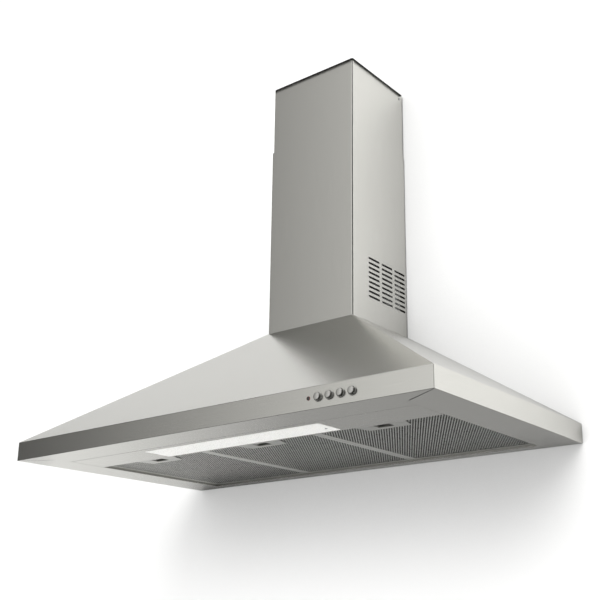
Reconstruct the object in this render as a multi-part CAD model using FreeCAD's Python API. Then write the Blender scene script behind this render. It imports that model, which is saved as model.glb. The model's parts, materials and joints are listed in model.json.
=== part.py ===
import FreeCAD, Part
import math
import os

# Chimney range hood with a pyramid canopy, three cassette filters and a telescoping chimney.
# X runs across the hood, +Y runs into the wall, +Z is up. The wall is the plane y = 0, the
# hood's centre is x = 0, and z = 0 is the lower edge of the canopy's rim. Millimetres.

V = FreeCAD.Vector

# ---- canopy, folded from one stainless sheet
hood_width = 900.0
hood_depth = 473.5
rim_height = 34.0
canopy_height = 251.5
sheet = 0.8
seam_gap = 0.3
mitre_across = 63.5
mitre_deep = 35.5
mitre_slit = 1.2
front_flange_depth = 66.5
lip_height = 12.0
back_sheet = 1.0
past = 1.0  # how far a cutter runs past the face that it opens

# ---- chimney covers
chimney_width = 204.6
chimney_depth = 181.0
lower_chimney_length = 388.5
upper_chimney_length = 400.0
upper_chimney_shown = 147.5
chimney_bend = 3.5
slide_gap_side = 0.4
slide_gap_front = 1.4
return_width = 15.0

# ---- vent slots in both sides of the lower chimney
slot_rows = 9
slot_columns = 3
slot_length = 36.2
slot_height = 4.3
slot_row_pitch = 9.56
slot_column_pitch = 43.5
slot_first_row_up = 50.3
slot_first_column_in = 25.3

# ---- cassette filters
filter_count = 3
filter_width = 252.0
filter_length = 307.4
filter_thickness = 9.0
filter_recess = 4.0
filter_gap = 0.6
filter_front_gap = 0.5
filter_rim = 8.5
filter_wall = 0.8
filter_fit = 0.3
mesh_diamond_wide = 15.0  # three times the real expanded mesh's 5 x 7.55, to keep faces few
mesh_diamond_long = 22.65
mesh_strand = 3.2
mesh_border = 2.5
pleat_pitch = 5.3
pleat_sheet = 0.8
tab_width = 14.0
tab_length = 8.4
tab_thickness = 1.2
tab_spacing = 150.0
tab_clearance = 0.2
tab_slot_height = 6.2

# ---- handle and latch of each filter
handle_front_width = 99.0
handle_rear_width = 73.0
handle_rear = 46.5
well_width = 30.0
well_front = 16.8
well_wall = 1.0
latch_width = 16.0
latch_thickness = 2.0
latch_up = 3.0
latch_travel = 5.0
finger_room = 8.2
latch_tip_gap = 0.3
latch_wing_half = 29.0
latch_wing_front = 4.8
latch_wing_deep = 2.5
latch_clearance = 0.4
grip_thickness = 3.0
grip_front = 17.8
grip_ribs = 7
grip_rib_width = 1.6
grip_rib_deep = 0.8
well_rear = grip_front + grip_thickness + grip_rib_deep + latch_travel + finger_room
grip_rib_pitch = 3.8
spring_radius = 2.2
spring_wire = 0.6
spring_length = 14.0
spring_across = 25.0
spring_post = 1.5
handle_cut_half = 31.0

# ---- rear rail that carries the filters' tabs
rear_flange_depth = 22.0
rail_height = 14.0

# ---- light
cover_length = 387.5
cover_depth = 57.0
cover_centre_in = 107.0
cover_proud = 0.4
cover_lip = 4.0
cover_boss = 2.5
cover_fit = 0.5
cover_screw_x = 180.0
cover_screw_back = 8.5
cover_screw_head = 2.8
cover_screw_radius = 1.5
cover_screw_length = 14.0
tray_height = 44.0
tray_flange = 5.0
tray_margin = 1.0
lamp_axis_up = 23.0
lamp_radius = 17.0
lamp_base_radius = 7.0
lamp_base_length = 22.0
lamp_swell_length = 31.0
lamp_swell_bow = 2.4
lamp_nose_length = 23.8
lamp_nose_bow = 3.4
lamp_tip_radius = 1.5
holder_radius = 11.5
holder_length = 26.0
holder_out = 166.0
holder_fit = 0.3
screw_post_radius = 4.0

# ---- push buttons and indicator in the rim
button_count = 4
button_first_x = 255.6
button_pitch = 20.25
button_up = 17.2
button_radius = 5.5
button_face_radius = 5.0
button_proud = 5.6
button_travel = 2.0
button_guide_gap = 0.3
bezel_radius = 7.4
bezel_proud = 1.6
bezel_wall = 0.9
bezel_length = 6.2
button_flange = 0.9
button_flange_thickness = 1.5
stem_radius = 2.3
stem_length = 7.7
indicator_x = 237.5
indicator_radius = 2.6
indicator_flange = 0.6
indicator_proud = 0.8
indicator_length = 10.0
control_margin_left = 9.0
control_margin_right = 13.0
control_bottom = 5.0
control_height = 25.0
control_depth = 30.0
control_wall = 1.5
switch_size = 12.0
switch_depth = 7.5
board_thickness = 1.6
switch_gap = 0.7

# ---- blower
impeller_radius = 72.0
blade_depth = 14.0
blade_count = 32
blade_thickness = 1.2
blade_bow = 4.0
impeller_half = 54.0
ring_thickness = 2.0
hub_radius = 14.0
hub_back = 6.0
hub_front = 12.0
scroll_clearance = 13.0
scroll_growth = 20.0
tongue_angle = 70.0
scroll_half = 65.0
scroll_wall = 2.0
scroll_up = 122.0
inlet_radius = 60.0
outlet_flange_half_x = 80.0
outlet_flange_half_y = 60.0
guard_radius = 70.0
guard_thickness = 2.0
guard_ring_width = 1.6
guard_ring_pitch = 12.0
guard_rings = 4
guard_spokes = 6
motor_radius = 42.0
motor_bracket_thickness = 2.0
bracket_disc_inset = 6.0
bracket_arm_lap = 2.0
motor_neck_length = 4.0
motor_end_gap = 2.0
shaft_radius = 4.0
shaft_fit = 0.05
shaft_in_motor = 52.0
bracket_arms = 3
bracket_arm_width = 14.0
blower_screw_x = 66.0
blower_screw_y = 50.0
screw_radius = 2.0
screw_head_radius = 3.6
screw_head_height = 2.2
screw_length = 9.0
screw_clearance = 0.3
screw_recess_share = 0.6

# ---- outlet collar with two non-return flaps
collar_radius = 75.0
collar_wall = 1.5
collar_height = 50.0
collar_flange = 1.5
collar_flange_half = 82.0
flap_axis_up = 22.0
flap_thickness = 1.0
flap_drop = 0.2
flap_edge_gap = 1.0
flap_root_gap = 3.5
ledge_width = 4.0
ledge_thickness = 1.5
pin_radius = 1.5
pin_fit = 0.05
knuckle_radius = 2.9
knuckle_length = 14.0
knuckle_gap = 1.0
knuckle_offset = 38.0

# ---- electrics on the back panel
terminal_x = -170.0
terminal_width = 60.0
terminal_height = 50.0
terminal_depth = 34.0
terminal_up = 110.0
terminal_wall = 1.5
gland_x = -90.5
gland_in = 14.0
gland_radius = 5.0
gland_bore = 3.6
gland_flange = 1.6
gland_length = 9.0
capacitor_x = 165.0
capacitor_width = 46.0
capacitor_height = 34.0
capacitor_depth = 22.0
capacitor_up = 100.0
capacitor_lug = 12.0
capacitor_lug_thickness = 2.0

# ---- wall fixing
hook_x = 120.0
hook_width = 26.0
hook_plate = 2.0
hook_up = 190.0
hook_height = 20.0
hook_reach = 4.4
hook_tongue = 9.0
hook_hole_radius = 2.75
window_side_gap = 3.0
window_below = 5.0
hang_gap = 0.2
safety_hole_x = 250.0
safety_hole_up = 60.0
safety_hole_radius = 2.75
bracket_height = 25.0
bracket_below_top = 0.8
bracket_sheet = 1.5
bracket_gap = 0.3
bracket_tab_deep = 22.0
bracket_hole_x = 60.0
bracket_hole_radius = 2.75
chimney_screw_in = 12.9
chimney_screw_below_top = 13.3
chimney_screw_length = 5.5
chimney_screw_head = 2.6
chimney_tab = 13.0
chimney_tab_half = 12.0
chimney_tab_y = 50.0
panel_screw_radius = 1.6
panel_screw_head = 3.0
panel_screw_length = 6.0
panel_screw_inset = 8.0

# ---- places worked out from the sizes above
half_width = hood_width / 2
chimney_half = chimney_width / 2
opening_half = (filter_count * filter_width + (filter_count + 1) * filter_gap) / 2
rail_front = -(rear_flange_depth + sheet)
filter_rear = rail_front - filter_gap
filter_front = filter_rear - filter_length
opening_front = filter_front - filter_front_gap
flange_rear = -(hood_depth - front_flange_depth)
panel_front = flange_rear + seam_gap
panel_half = opening_half - seam_gap
filter_low = filter_recess
filter_high = filter_recess + filter_thickness
cavity_low = filter_low + filter_wall
cavity_high = filter_high - filter_wall
rise = canopy_height - rim_height
side_run = half_width - chimney_half
front_run = hood_depth - chimney_depth
side_inset = sheet * math.hypot(side_run, rise) / rise
front_inset = sheet * math.hypot(front_run, rise) / rise
lower_top = canopy_height + lower_chimney_length
upper_top = lower_top + upper_chimney_shown
upper_bottom = upper_top - upper_chimney_length
lower_inner_half = chimney_half - sheet
upper_half = lower_inner_half - slide_gap_side
upper_inner_half = upper_half - sheet
upper_front = -(chimney_depth - sheet - slide_gap_front)
upper_back = -(sheet + slide_gap_side)
duct_y = -chimney_depth / 2
scroll_inner = impeller_radius + scroll_clearance
scroll_outer = scroll_inner + scroll_growth
tongue_reach = scroll_inner * math.cos(math.radians(tongue_angle))
scroll_y = duct_y - (tongue_reach + scroll_outer) / 2
outlet_top = canopy_height - sheet
impeller_inner = impeller_radius - blade_depth
motor_face = -scroll_half
motor_end = -(hub_back + motor_end_gap)
cover_y = -(hood_depth - cover_centre_in)
rim_front = -hood_depth
button_xs = [button_first_x + i * button_pitch for i in range(button_count)]
filter_xs = [
    (i - (filter_count - 1) / 2) * (filter_width + filter_gap) for i in range(filter_count)
]
filter_names = ["left", "centre", "right"]


# ---- shapes used everywhere
def box(x0, x1, y0, y1, z0, z1):
    return Part.makeBox(x1 - x0, y1 - y0, z1 - z0, V(x0, y0, z0))


def rod(radius, start, end):
    return Part.makeCylinder(radius, (end - start).Length, start, end - start)


def join(shapes):
    return shapes[0].multiFuse(shapes[1:]).removeSplitter()


def rectangle(x0, x1, y0, y1, z):
    return Part.makePolygon([V(x0, y0, z), V(x1, y0, z), V(x1, y1, z), V(x0, y1, z), V(x0, y0, z)])


def frustum(low_half, low_front, low_z, high_half, high_front, high_z, back):
    """A block with flat sloping front and sides and an upright back at y = back."""
    def corners(half, front, z):
        return [V(-half, front, z), V(half, front, z), V(half, back, z), V(-half, back, z)]

    low = corners(low_half, low_front, low_z)
    high = corners(high_half, high_front, high_z)
    sides = [[low[i - 1], low[i], high[i], high[i - 1]] for i in range(4)]
    faces = [Part.Face(Part.makePolygon(c + c[:1])) for c in [low, high] + sides]
    return Part.Solid(Part.Shell(faces))


def plate(points, z0, thickness):
    """A flat plate over an outline of (x, y) corners."""
    corners = [V(x, y, z0) for x, y in points]
    return Part.Face(Part.makePolygon(corners + corners[:1])).extrude(V(0, 0, thickness))


def mirrored(shape):
    return shape.mirror(V(0, 0, 0), V(1, 0, 0))


def both_sides(shape):
    return [shape, mirrored(shape)]


def screw(seat, direction, radius, length, head_radius, head_height):
    """A pan-head screw: the head's underside lies at seat and the shank runs along direction."""
    shank = rod(radius, seat, seat + direction * length)
    head = rod(head_radius, seat - direction * head_height, seat)
    top = seat - direction * head_height
    slot = rod(radius * screw_recess_share, top, seat - direction * head_height / 2)
    return join([shank, head]).cut(slot)


def save(name, shape):
    solids = shape.Solids
    for solid in solids:
        if not solid.isValid() or solid.Volume <= 0:
            raise ValueError("%s is not a sound solid" % name)
    kept = solids[0] if len(solids) == 1 else Part.makeCompound(solids)
    kept.exportStep("parts/%s.step" % name)
    print("%-24s %2d solids %10.1f mm3" % (name, len(solids), kept.Volume))


def save_group(name, shapes):
    save(name, Part.makeCompound(shapes))


# ---- canopy
def pyramid_outside():
    rim = box(-half_width, half_width, rim_front, 0, 0, rim_height)
    slopes = frustum(half_width, rim_front, rim_height,
                     chimney_half, -chimney_depth, canopy_height, 0)
    return join([rim, slopes])


def pyramid_inside(back):
    """The space inside the canopy's sheet, open below and cut off at y = back."""
    below = 2 * rim_height
    side_low = half_width - side_inset + below * side_run / rise
    front_low = hood_depth - front_inset + below * front_run / rise
    slopes = frustum(side_low, -front_low, rim_height - below,
                     chimney_half - side_inset, front_inset - chimney_depth, canopy_height, back)
    inside = box(
        -half_width + sheet,
        half_width - sheet,
        rim_front + sheet,
        back,
        rim_height - below,
        canopy_height - sheet,
    )
    return slopes.common(inside)


def mitre_slits():
    """The open slit at each front corner and the thin seam behind it."""
    corner_x = half_width - sheet
    corner_y = rim_front + sheet
    end_x = half_width - mitre_across
    end_y = rim_front + mitre_deep
    slit = plate(
        [
            (corner_x, corner_y),
            (end_x, end_y),
            (end_x, end_y + mitre_slit),
            (corner_x, corner_y + mitre_slit),
        ],
        -sheet,
        3 * sheet,
    )
    seam_x = opening_half + sheet
    seam = plate(
        [
            (end_x, end_y + mitre_slit - seam_gap),
            (end_x, end_y + mitre_slit),
            (seam_x + seam_gap, end_y + mitre_slit + seam_gap),
            (seam_x + seam_gap, flange_rear),
            (seam_x, flange_rear),
            (seam_x, end_y + mitre_slit),
        ],
        -sheet,
        3 * sheet,
    )
    return both_sides(slit) + both_sides(seam)


def bezel_bore(x, radius, length):
    return rod(radius, V(x, rim_front - sheet, button_up), V(x, rim_front + length, button_up))


def canopy_shell():
    shell = pyramid_outside().cut(pyramid_inside(past))
    front = box(-half_width + sheet, half_width - sheet, rim_front, flange_rear, 0, sheet)
    front_lip = box(-panel_half, panel_half, flange_rear - sheet, flange_rear, 0, lip_height)
    side = box(opening_half, half_width - sheet, rim_front, -back_sheet, 0, sheet)
    side_lip = box(
        opening_half, opening_half + sheet, flange_rear + seam_gap, rail_front, 0, lip_height
    )
    shell = join([shell, front, front_lip] + both_sides(side) + both_sides(side_lip))
    cuts = mitre_slits()
    cuts.append(rod(collar_radius - ledge_width, V(0, duct_y, outlet_top - sheet),
                    V(0, duct_y, canopy_height + sheet)))
    cuts += [rod(screw_radius + screw_clearance, V(x, y, outlet_top - sheet),
                 V(x, y, canopy_height + sheet)) for x, y in blower_screw_places()]
    cuts += [rod(panel_screw_radius, V(x, y, outlet_top - sheet), V(x, y, canopy_height + sheet))
             for x, y in chimney_tab_places()]
    cuts.append(rod(gland_radius, V(gland_x, -gland_in, outlet_top - sheet),
                    V(gland_x, -gland_in, canopy_height + sheet)))
    bezel_hole = button_radius + button_guide_gap + bezel_wall
    cuts += [bezel_bore(x, bezel_hole, 2 * sheet) for x in button_xs]
    cuts.append(bezel_bore(indicator_x, indicator_radius, 2 * sheet))
    for y in panel_screw_places():
        up = lip_height / 2
        cuts += both_sides(rod(panel_screw_radius, V(opening_half - sheet, y, up),
                               V(opening_half + 2 * sheet, y, up)))
    return shell.cut(cuts)


def canopy_parts():
    """The canopy's folded front, its two folded sides and its top plate, welded along the hips."""
    shell = canopy_shell()
    top = shell.common(box(-half_width, half_width, rim_front, past, outlet_top,
                           canopy_height + past))
    seam_x = opening_half + sheet + seam_gap / 2
    seam_y = flange_rear + seam_gap / 2
    slit_y = rim_front + mitre_deep + mitre_slit - seam_gap / 2
    fold = [(half_width, rim_front), (half_width - sheet, rim_front + sheet + mitre_slit / 2),
            (half_width - mitre_across, slit_y), (seam_x, slit_y + seam_gap), (seam_x, seam_y)]
    folded = plate(fold + [(-x, y) for x, y in reversed(fold)], 0, rim_height)
    hips_meet = chimney_half * front_run / side_run - chimney_depth
    sloping = plate([(half_width, rim_front), (0, hips_meet), (-half_width, rim_front)],
                    rim_height, outlet_top - rim_height)
    front = join([shell.common(folded), shell.common(sloping)])
    rest = shell.cut([folded, sloping, top])
    right = rest.common(box(0, half_width + past, rim_front, past, 0, canopy_height))
    return front, mirrored(right), right, top


def window_box(x):
    """The cut-out of the back panel that hangs on one wall hook."""
    half = hook_width / 2 + window_side_gap
    low = hook_up - window_below
    high = hook_up + hook_height + hang_gap
    return box(x - half, x + half, -2 * back_sheet, back_sheet, low, high)


def back_panel():
    panel = pyramid_inside(0).common(
        box(-half_width, half_width, -back_sheet, 0, 0, canopy_height)
    )
    hole = rod(safety_hole_radius, V(safety_hole_x, -2 * back_sheet, safety_hole_up),
               V(safety_hole_x, back_sheet, safety_hole_up))
    return panel.cut([window_box(hook_x), window_box(-hook_x)] + both_sides(hole))


def wall_hook(x):
    """A wall hook: its plate lies on the wall and its turned-up tongue carries the back panel."""
    half = hook_width / 2
    top = hook_up + hook_height
    base = box(x - half, x + half, -hook_plate, 0, hook_up, top)
    reach = box(x - half, x + half, -hook_reach, 0, top - hook_plate, top)
    tongue = box(x - half, x + half, -hook_reach, hook_plate - hook_reach, top - hook_plate,
                 top + hook_tongue)
    middle = hook_up + (hook_height - hook_plate) / 2
    hole = rod(hook_hole_radius, V(x, -2 * hook_plate, middle), V(x, hook_plate, middle))
    return join([base, reach, tongue]).cut(hole)


# ---- underside
def tab_places(x):
    return [x - tab_spacing / 2, x + tab_spacing / 2]


def rear_rail():
    """The folded rail across the back that holds the rear tabs of the filters."""
    floor = box(-panel_half, panel_half, rail_front, -back_sheet, 0, sheet)
    lip = box(-panel_half, panel_half, rail_front, rail_front + sheet, 0, rail_height)
    back = box(-panel_half, panel_half, -back_sheet - sheet, -back_sheet, 0, rail_height)
    low = filter_low - tab_clearance
    half = tab_width / 2 + filter_gap
    slots = [box(x - half, x + half, rail_front - sheet, rail_front + 2 * sheet,
                 low, low + tab_slot_height)
             for middle in filter_xs for x in tab_places(middle)]
    return join([floor, lip, back]).cut(slots)


def panel_screw_places():
    return [panel_front + panel_screw_inset, opening_front - panel_screw_inset]


def light_panel():
    """The strip between the front flange and the filters, with the light's opening."""
    floor = box(-panel_half, panel_half, panel_front, opening_front, 0, sheet)
    front = box(-panel_half, panel_half, panel_front, panel_front + sheet, 0, lip_height)
    rear = box(-panel_half, panel_half, opening_front - sheet, opening_front, 0, filter_high)
    end = box(panel_half - sheet, panel_half, panel_front, opening_front, 0, lip_height)
    light = light_opening(0, -sheet, 2 * sheet)
    shape = join([floor, front, rear] + both_sides(end)).cut(light)
    holes = [rod(panel_screw_radius + screw_clearance / 2,
                 V(panel_half - 2 * sheet, y, lip_height / 2),
                 V(panel_half + sheet, y, lip_height / 2)) for y in panel_screw_places()]
    return shape.cut(holes + [mirrored(hole) for hole in holes])


def panel_screws():
    screws = []
    for y in panel_screw_places():
        seat = V(panel_half - sheet, y, lip_height / 2)
        screws += both_sides(screw(seat, V(1, 0, 0), panel_screw_radius, panel_screw_length,
                                   panel_screw_head, screw_head_height))
    return screws


# ---- light
def light_opening(shrink, z0, z1):
    half_x = cover_length / 2 - cover_lip - shrink
    half_y = cover_depth / 2 - cover_lip - shrink
    return box(-half_x, half_x, cover_y - half_y, cover_y + half_y, z0, z1)


def cover_screw_place():
    return cover_screw_x, cover_y + cover_screw_back


def light_cover():
    half_x = cover_length / 2
    half_y = cover_depth / 2
    face = box(-half_x, half_x, cover_y - half_y, cover_y + half_y, -cover_proud, 0)
    boss = light_opening(cover_fit, 0, cover_boss)
    x, y = cover_screw_place()
    hole = rod(cover_screw_radius + screw_clearance / 2, V(x, y, -sheet), V(x, y, 2 * cover_boss))
    head = rod(cover_screw_head + screw_clearance / 2, V(x, y, -sheet), V(x, y, cover_boss / 2))
    return join([face, boss]).cut([hole, head])


def cover_screw():
    x, y = cover_screw_place()
    return screw(V(x, y, cover_boss / 2), V(0, 0, 1), cover_screw_radius, cover_screw_length,
                 cover_screw_head, cover_boss / 2 + cover_proud)


def lamp_tray():
    """The lamp box on top of the light panel, with a post for the cover's screw."""
    half_x = cover_length / 2 - cover_lip + tray_margin
    half_y = cover_depth / 2 - cover_lip + tray_margin
    low = sheet
    high = sheet + tray_height
    outside = box(-half_x - sheet, half_x + sheet, cover_y - half_y - sheet,
                  cover_y + half_y + sheet, low, high)
    foot_x = half_x + sheet + tray_flange
    foot_y = half_y + sheet + tray_flange
    foot = box(-foot_x, foot_x, cover_y - foot_y, cover_y + foot_y, low, low + sheet)
    inside = box(-half_x, half_x, cover_y - half_y, cover_y + half_y, low - sheet, high - sheet)
    x, y = cover_screw_place()
    post = rod(screw_post_radius, V(x, y, cover_boss + seam_gap), V(x, y, high - sheet))
    bore = rod(cover_screw_radius, V(x, y, 0), V(x, y, cover_screw_length + cover_boss / 2))
    return join([join([outside, foot]).cut(inside), post]).cut(bore)


def lamp_holder():
    """One screw lamp holder with the foot that hangs it from the tray."""
    inner = holder_out - holder_length
    body = rod(holder_radius, V(inner, cover_y, lamp_axis_up), V(holder_out, cover_y, lamp_axis_up))
    socket = rod(lamp_base_radius + holder_fit, V(inner - past, cover_y, lamp_axis_up),
                 V(inner + lamp_base_length + holder_fit, cover_y, lamp_axis_up))
    foot = box(inner + holder_length / 3, holder_out, cover_y - holder_radius / 2,
               cover_y + holder_radius / 2, lamp_axis_up, sheet + tray_height - sheet)
    return join([body, foot]).cut(socket)


def lamp():
    """One candle lamp: a screw base, a swelling glass bulb and a rounded tip."""
    def bowed(start, end, bow):
        along = (end - start).normalize()
        return Part.Arc(start, (start + end) / 2 + V(along.y, -along.x, 0) * bow, end).toShape()

    neck_x = holder_out - holder_length
    base = V(neck_x + lamp_base_length, lamp_base_radius, 0)
    neck = V(neck_x, lamp_base_radius, 0)
    widest = V(neck_x - lamp_swell_length, lamp_radius, 0)
    tip = V(widest.x - lamp_nose_length, lamp_tip_radius, 0)
    base_axis = V(base.x, 0, 0)
    tip_axis = V(tip.x, 0, 0)
    profile = [
        Part.makeLine(base_axis, base),
        Part.makeLine(base, neck),
        bowed(neck, widest, lamp_swell_bow),
        bowed(widest, tip, lamp_nose_bow),
        Part.makeLine(tip, tip_axis),
        Part.makeLine(tip_axis, base_axis),
    ]
    turned = Part.Face(Part.Wire(profile)).revolve(V(0, 0, 0), V(1, 0, 0), 360)
    turned.translate(V(0, cover_y, lamp_axis_up))
    return turned


# ---- one cassette filter, built about x = 0 and moved to its place
def filter_frame():
    half = filter_width / 2
    outside = box(-half, half, filter_front, filter_rear, filter_low, filter_high)
    window = box(-half + filter_rim, half - filter_rim, filter_front + filter_rim,
                 filter_rear - filter_rim, filter_low - past, filter_high + past)
    cavity = box(-half + filter_wall, half - filter_wall, filter_front + filter_wall,
                 filter_rear - filter_wall, cavity_low, cavity_high)
    nose = latch_width / 2 + latch_clearance
    low = filter_low + latch_up - latch_clearance
    high = filter_low + latch_up + latch_thickness + latch_clearance
    nose_hole = box(-nose, nose, filter_front - past, filter_front + 2 * filter_wall, low, high)
    tabs = [box(x - tab_width / 2, x + tab_width / 2, filter_rear - filter_wall,
                filter_rear + tab_length, filter_low, filter_low + tab_thickness)
            for x in tab_places(0)]
    return join([outside.cut([window, cavity])] + tabs).cut(nose_hole)


def filter_strips():
    """The three rectangles round the handle that each mesh sheet and the core are cut to."""
    half = filter_width / 2 - filter_wall - filter_fit
    side = handle_cut_half + filter_fit
    front = filter_front + filter_wall + filter_fit
    middle = filter_front + well_rear + well_wall + filter_fit
    rear = filter_rear - filter_wall - filter_fit
    return [(-half, -side, front, middle), (side, half, front, middle),
            (-half, half, middle + seam_gap, rear)]


def mesh_strip(x0, x1, y0, y1):
    """One strip of the expanded mesh sheet, with each diamond that lies wholly inside it open."""
    wires = [rectangle(x0, x1, y0, y1, cavity_low)]
    wide, long = mesh_diamond_wide / 2, mesh_diamond_long / 2
    reach = wide * long / math.hypot(wide, long)
    share = 1 - mesh_strand / 2 / reach
    rim = filter_width / 2 - filter_rim + mesh_border
    left, right = max(x0, -rim) + mesh_border, min(x1, rim) - mesh_border
    front = max(y0, filter_front + filter_rim - mesh_border) + mesh_border
    rear = min(y1, filter_rear - filter_rim + mesh_border) - mesh_border
    middle = (filter_front + filter_rear) / 2
    columns = int(filter_width / mesh_diamond_wide) + 1
    rows = int(filter_length / mesh_diamond_long) + 1
    for column in range(-columns, columns + 1):
        for row in range(-rows, rows + 1):
            x, y = column * wide, middle + row * long
            a, b = wide * share, long * share
            if (column + row) % 2 or x - a < left or x + a > right or y - b < front or y + b > rear:
                continue
            corners = [(x - a, y), (x, y - b), (x + a, y), (x, y + b), (x - a, y)]
            wires.append(Part.makePolygon([V(u, v, cavity_low) for u, v in corners]))
    return Part.makeFace(wires, "Part::FaceMakerBullseye").extrude(V(0, 0, filter_wall))


def filter_meshes():
    """The lower and the upper mesh sheet, with the filter core clamped between them."""
    lower = [mesh_strip(*strip) for strip in filter_strips()]
    lift = V(0, 0, cavity_high - filter_wall - cavity_low)
    return lower + [strip.translated(lift) for strip in lower]


def filter_core():
    """The pleated metal core, its folds touching the two mesh sheets in turn."""
    half = filter_width / 2 - filter_wall - filter_fit
    front = filter_front + filter_wall + filter_fit
    rear = filter_rear - filter_wall - filter_fit
    low = cavity_low + filter_wall
    high = cavity_high - filter_wall - pleat_sheet
    folds = 2 * int(half / pleat_pitch)
    fold_xs = [(i - folds / 2) * 2 * half / folds for i in range(folds + 1)]
    under = [V(x, front, high if i % 2 else low) for i, x in enumerate(fold_xs)]
    over = [point + V(0, 0, pleat_sheet) for point in reversed(under)]
    outline = Part.makePolygon(under + over + under[:1])
    pleats = Part.Face(outline).extrude(V(0, rear - front, 0))
    strips = [box(x0, x1, y0, y1, low, cavity_high) for x0, x1, y0, y1 in filter_strips()]
    return [pleats.common(strip) for strip in strips]


def handle():
    """The handle plate with its finger well and the two posts that back the latch springs."""
    front = filter_front + filter_rim + filter_fit
    rear = filter_front + handle_rear
    front_half = handle_front_width / 2
    rear_half = handle_rear_width / 2
    low = filter_low
    face = plate([(-front_half, front), (front_half, front), (rear_half, rear), (-rear_half, rear)],
                 low, filter_wall)
    well_half = well_width / 2
    y0 = filter_front + well_front
    y1 = filter_front + well_rear
    block = box(-well_half - well_wall, well_half + well_wall, y0 - well_wall, y1 + well_wall,
                low, cavity_high)
    hollow = box(-well_half, well_half, y0, y1, low - past, cavity_high - well_wall)
    slot_half = latch_width / 2 + latch_clearance
    slot = box(-slot_half, slot_half, y0 - 2 * well_wall, y0 + past,
               low + latch_up - latch_clearance,
               low + latch_up + latch_thickness + latch_clearance)
    post_front = latch_wing_rear() + spring_length
    post = box(spring_across - spring_radius, handle_cut_half - filter_fit, post_front,
               post_front + spring_post, low, cavity_high - well_wall)
    return join([face, block] + both_sides(post)).cut([hollow, slot])


def latch_wing_rear():
    return filter_front + latch_wing_front + latch_wing_deep


def latch():
    """The sprung slider: nose, cross bar for the springs and the ribbed grip in the well."""
    low = filter_low + latch_up
    high = low + latch_thickness
    half = latch_width / 2
    tip = opening_front + latch_tip_gap
    grip_y = filter_front + grip_front
    bar = box(-half, half, tip, grip_y + grip_thickness, low, high)
    wing = box(-latch_wing_half, latch_wing_half, filter_front + latch_wing_front,
               latch_wing_rear(), low, high)
    grip_half = well_width / 2 - latch_clearance
    grip_low = filter_low + filter_wall
    grip = box(-grip_half, grip_half, grip_y, grip_y + grip_thickness, grip_low, high)
    ribs = [box(x - grip_rib_width / 2, x + grip_rib_width / 2, grip_y + grip_thickness,
                grip_y + grip_thickness + grip_rib_deep, grip_low, high)
            for x in [(i - (grip_ribs - 1) / 2) * grip_rib_pitch for i in range(grip_ribs)]]
    return join([bar, wing, grip] + ribs)


def latch_springs():
    y0 = latch_wing_rear()
    z = filter_low + latch_up + latch_thickness / 2
    springs = []
    for x in (-spring_across, spring_across):
        outer = rod(spring_radius, V(x, y0, z), V(x, y0 + spring_length, z))
        inner = rod(spring_radius - spring_wire, V(x, y0 - past, z),
                    V(x, y0 + spring_length + past, z))
        springs.append(outer.cut(inner))
    return springs


# ---- controls in the front rim
def bezel(x):
    bore = button_radius + button_guide_gap
    start = V(x, rim_front - bezel_proud, button_up)
    face = V(x, rim_front, button_up)
    end = V(x, rim_front + bezel_length, button_up)
    ring = rod(bezel_radius, start, face)
    sleeve = rod(bore + bezel_wall, face, end)
    return join([ring, sleeve]).cut(rod(bore, start - V(0, past, 0), end + V(0, past, 0)))


def button(x):
    """One push button: cap, guide, the flange that keeps it in, and the stem into its switch."""
    front = rim_front - button_proud
    step = front + (button_radius - button_face_radius)
    flange_y = rim_front + bezel_length + button_guide_gap
    flange_end = flange_y + button_flange_thickness
    cap = Part.makeCone(button_face_radius, button_radius, step - front,
                        V(x, front, button_up), V(0, 1, 0))
    guide = rod(button_radius, V(x, step, button_up), V(x, flange_y, button_up))
    flange = rod(button_radius + button_flange, V(x, flange_y, button_up),
                 V(x, flange_end, button_up))
    stem = rod(stem_radius, V(x, flange_end, button_up), V(x, flange_end + stem_length, button_up))
    return join([cap, guide, flange, stem])


def indicator_lens():
    front = V(indicator_x, rim_front - indicator_proud, button_up)
    face = V(indicator_x, rim_front, button_up)
    end = V(indicator_x, rim_front + indicator_length, button_up)
    return join([rod(indicator_radius + indicator_flange, front, face),
                 rod(indicator_radius, face, end)])


def control_span():
    return indicator_x - control_margin_left, button_xs[-1] + control_margin_right


def control_housing():
    x0, x1 = control_span()
    y0 = rim_front + sheet
    y1 = y0 + control_depth
    z1 = control_bottom + control_height
    outside = box(x0, x1, y0, y1, control_bottom, z1)
    inside = box(x0 + control_wall, x1 - control_wall, y0 + control_wall, y1 + past,
                 control_bottom + control_wall, z1 - control_wall)
    bezel_hole = button_radius + button_guide_gap + bezel_wall
    holes = [bezel_bore(x, bezel_hole, 2 * control_depth / 3) for x in button_xs]
    holes.append(bezel_bore(indicator_x, indicator_radius, 2 * control_depth / 3))
    return outside.cut([inside] + holes)


def switch_front():
    flange_end = rim_front + bezel_length + button_guide_gap + button_flange_thickness
    return flange_end + button_travel + switch_gap


def control_board():
    """The circuit board across the housing with one switch body behind each button."""
    x0, x1 = control_span()
    front = switch_front()
    face = front + switch_depth
    board = box(x0 + control_wall, x1 - control_wall, face, face + board_thickness,
                control_bottom + control_wall, control_bottom + control_height - control_wall)
    half = switch_size / 2
    switches = [box(x - half, x + half, front, face, button_up - half, button_up + half)
                for x in button_xs]
    bores = [rod(stem_radius + button_guide_gap, V(x, front - past, button_up),
                 V(x, face, button_up)) for x in button_xs]
    return join([board] + switches).cut(bores)


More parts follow.
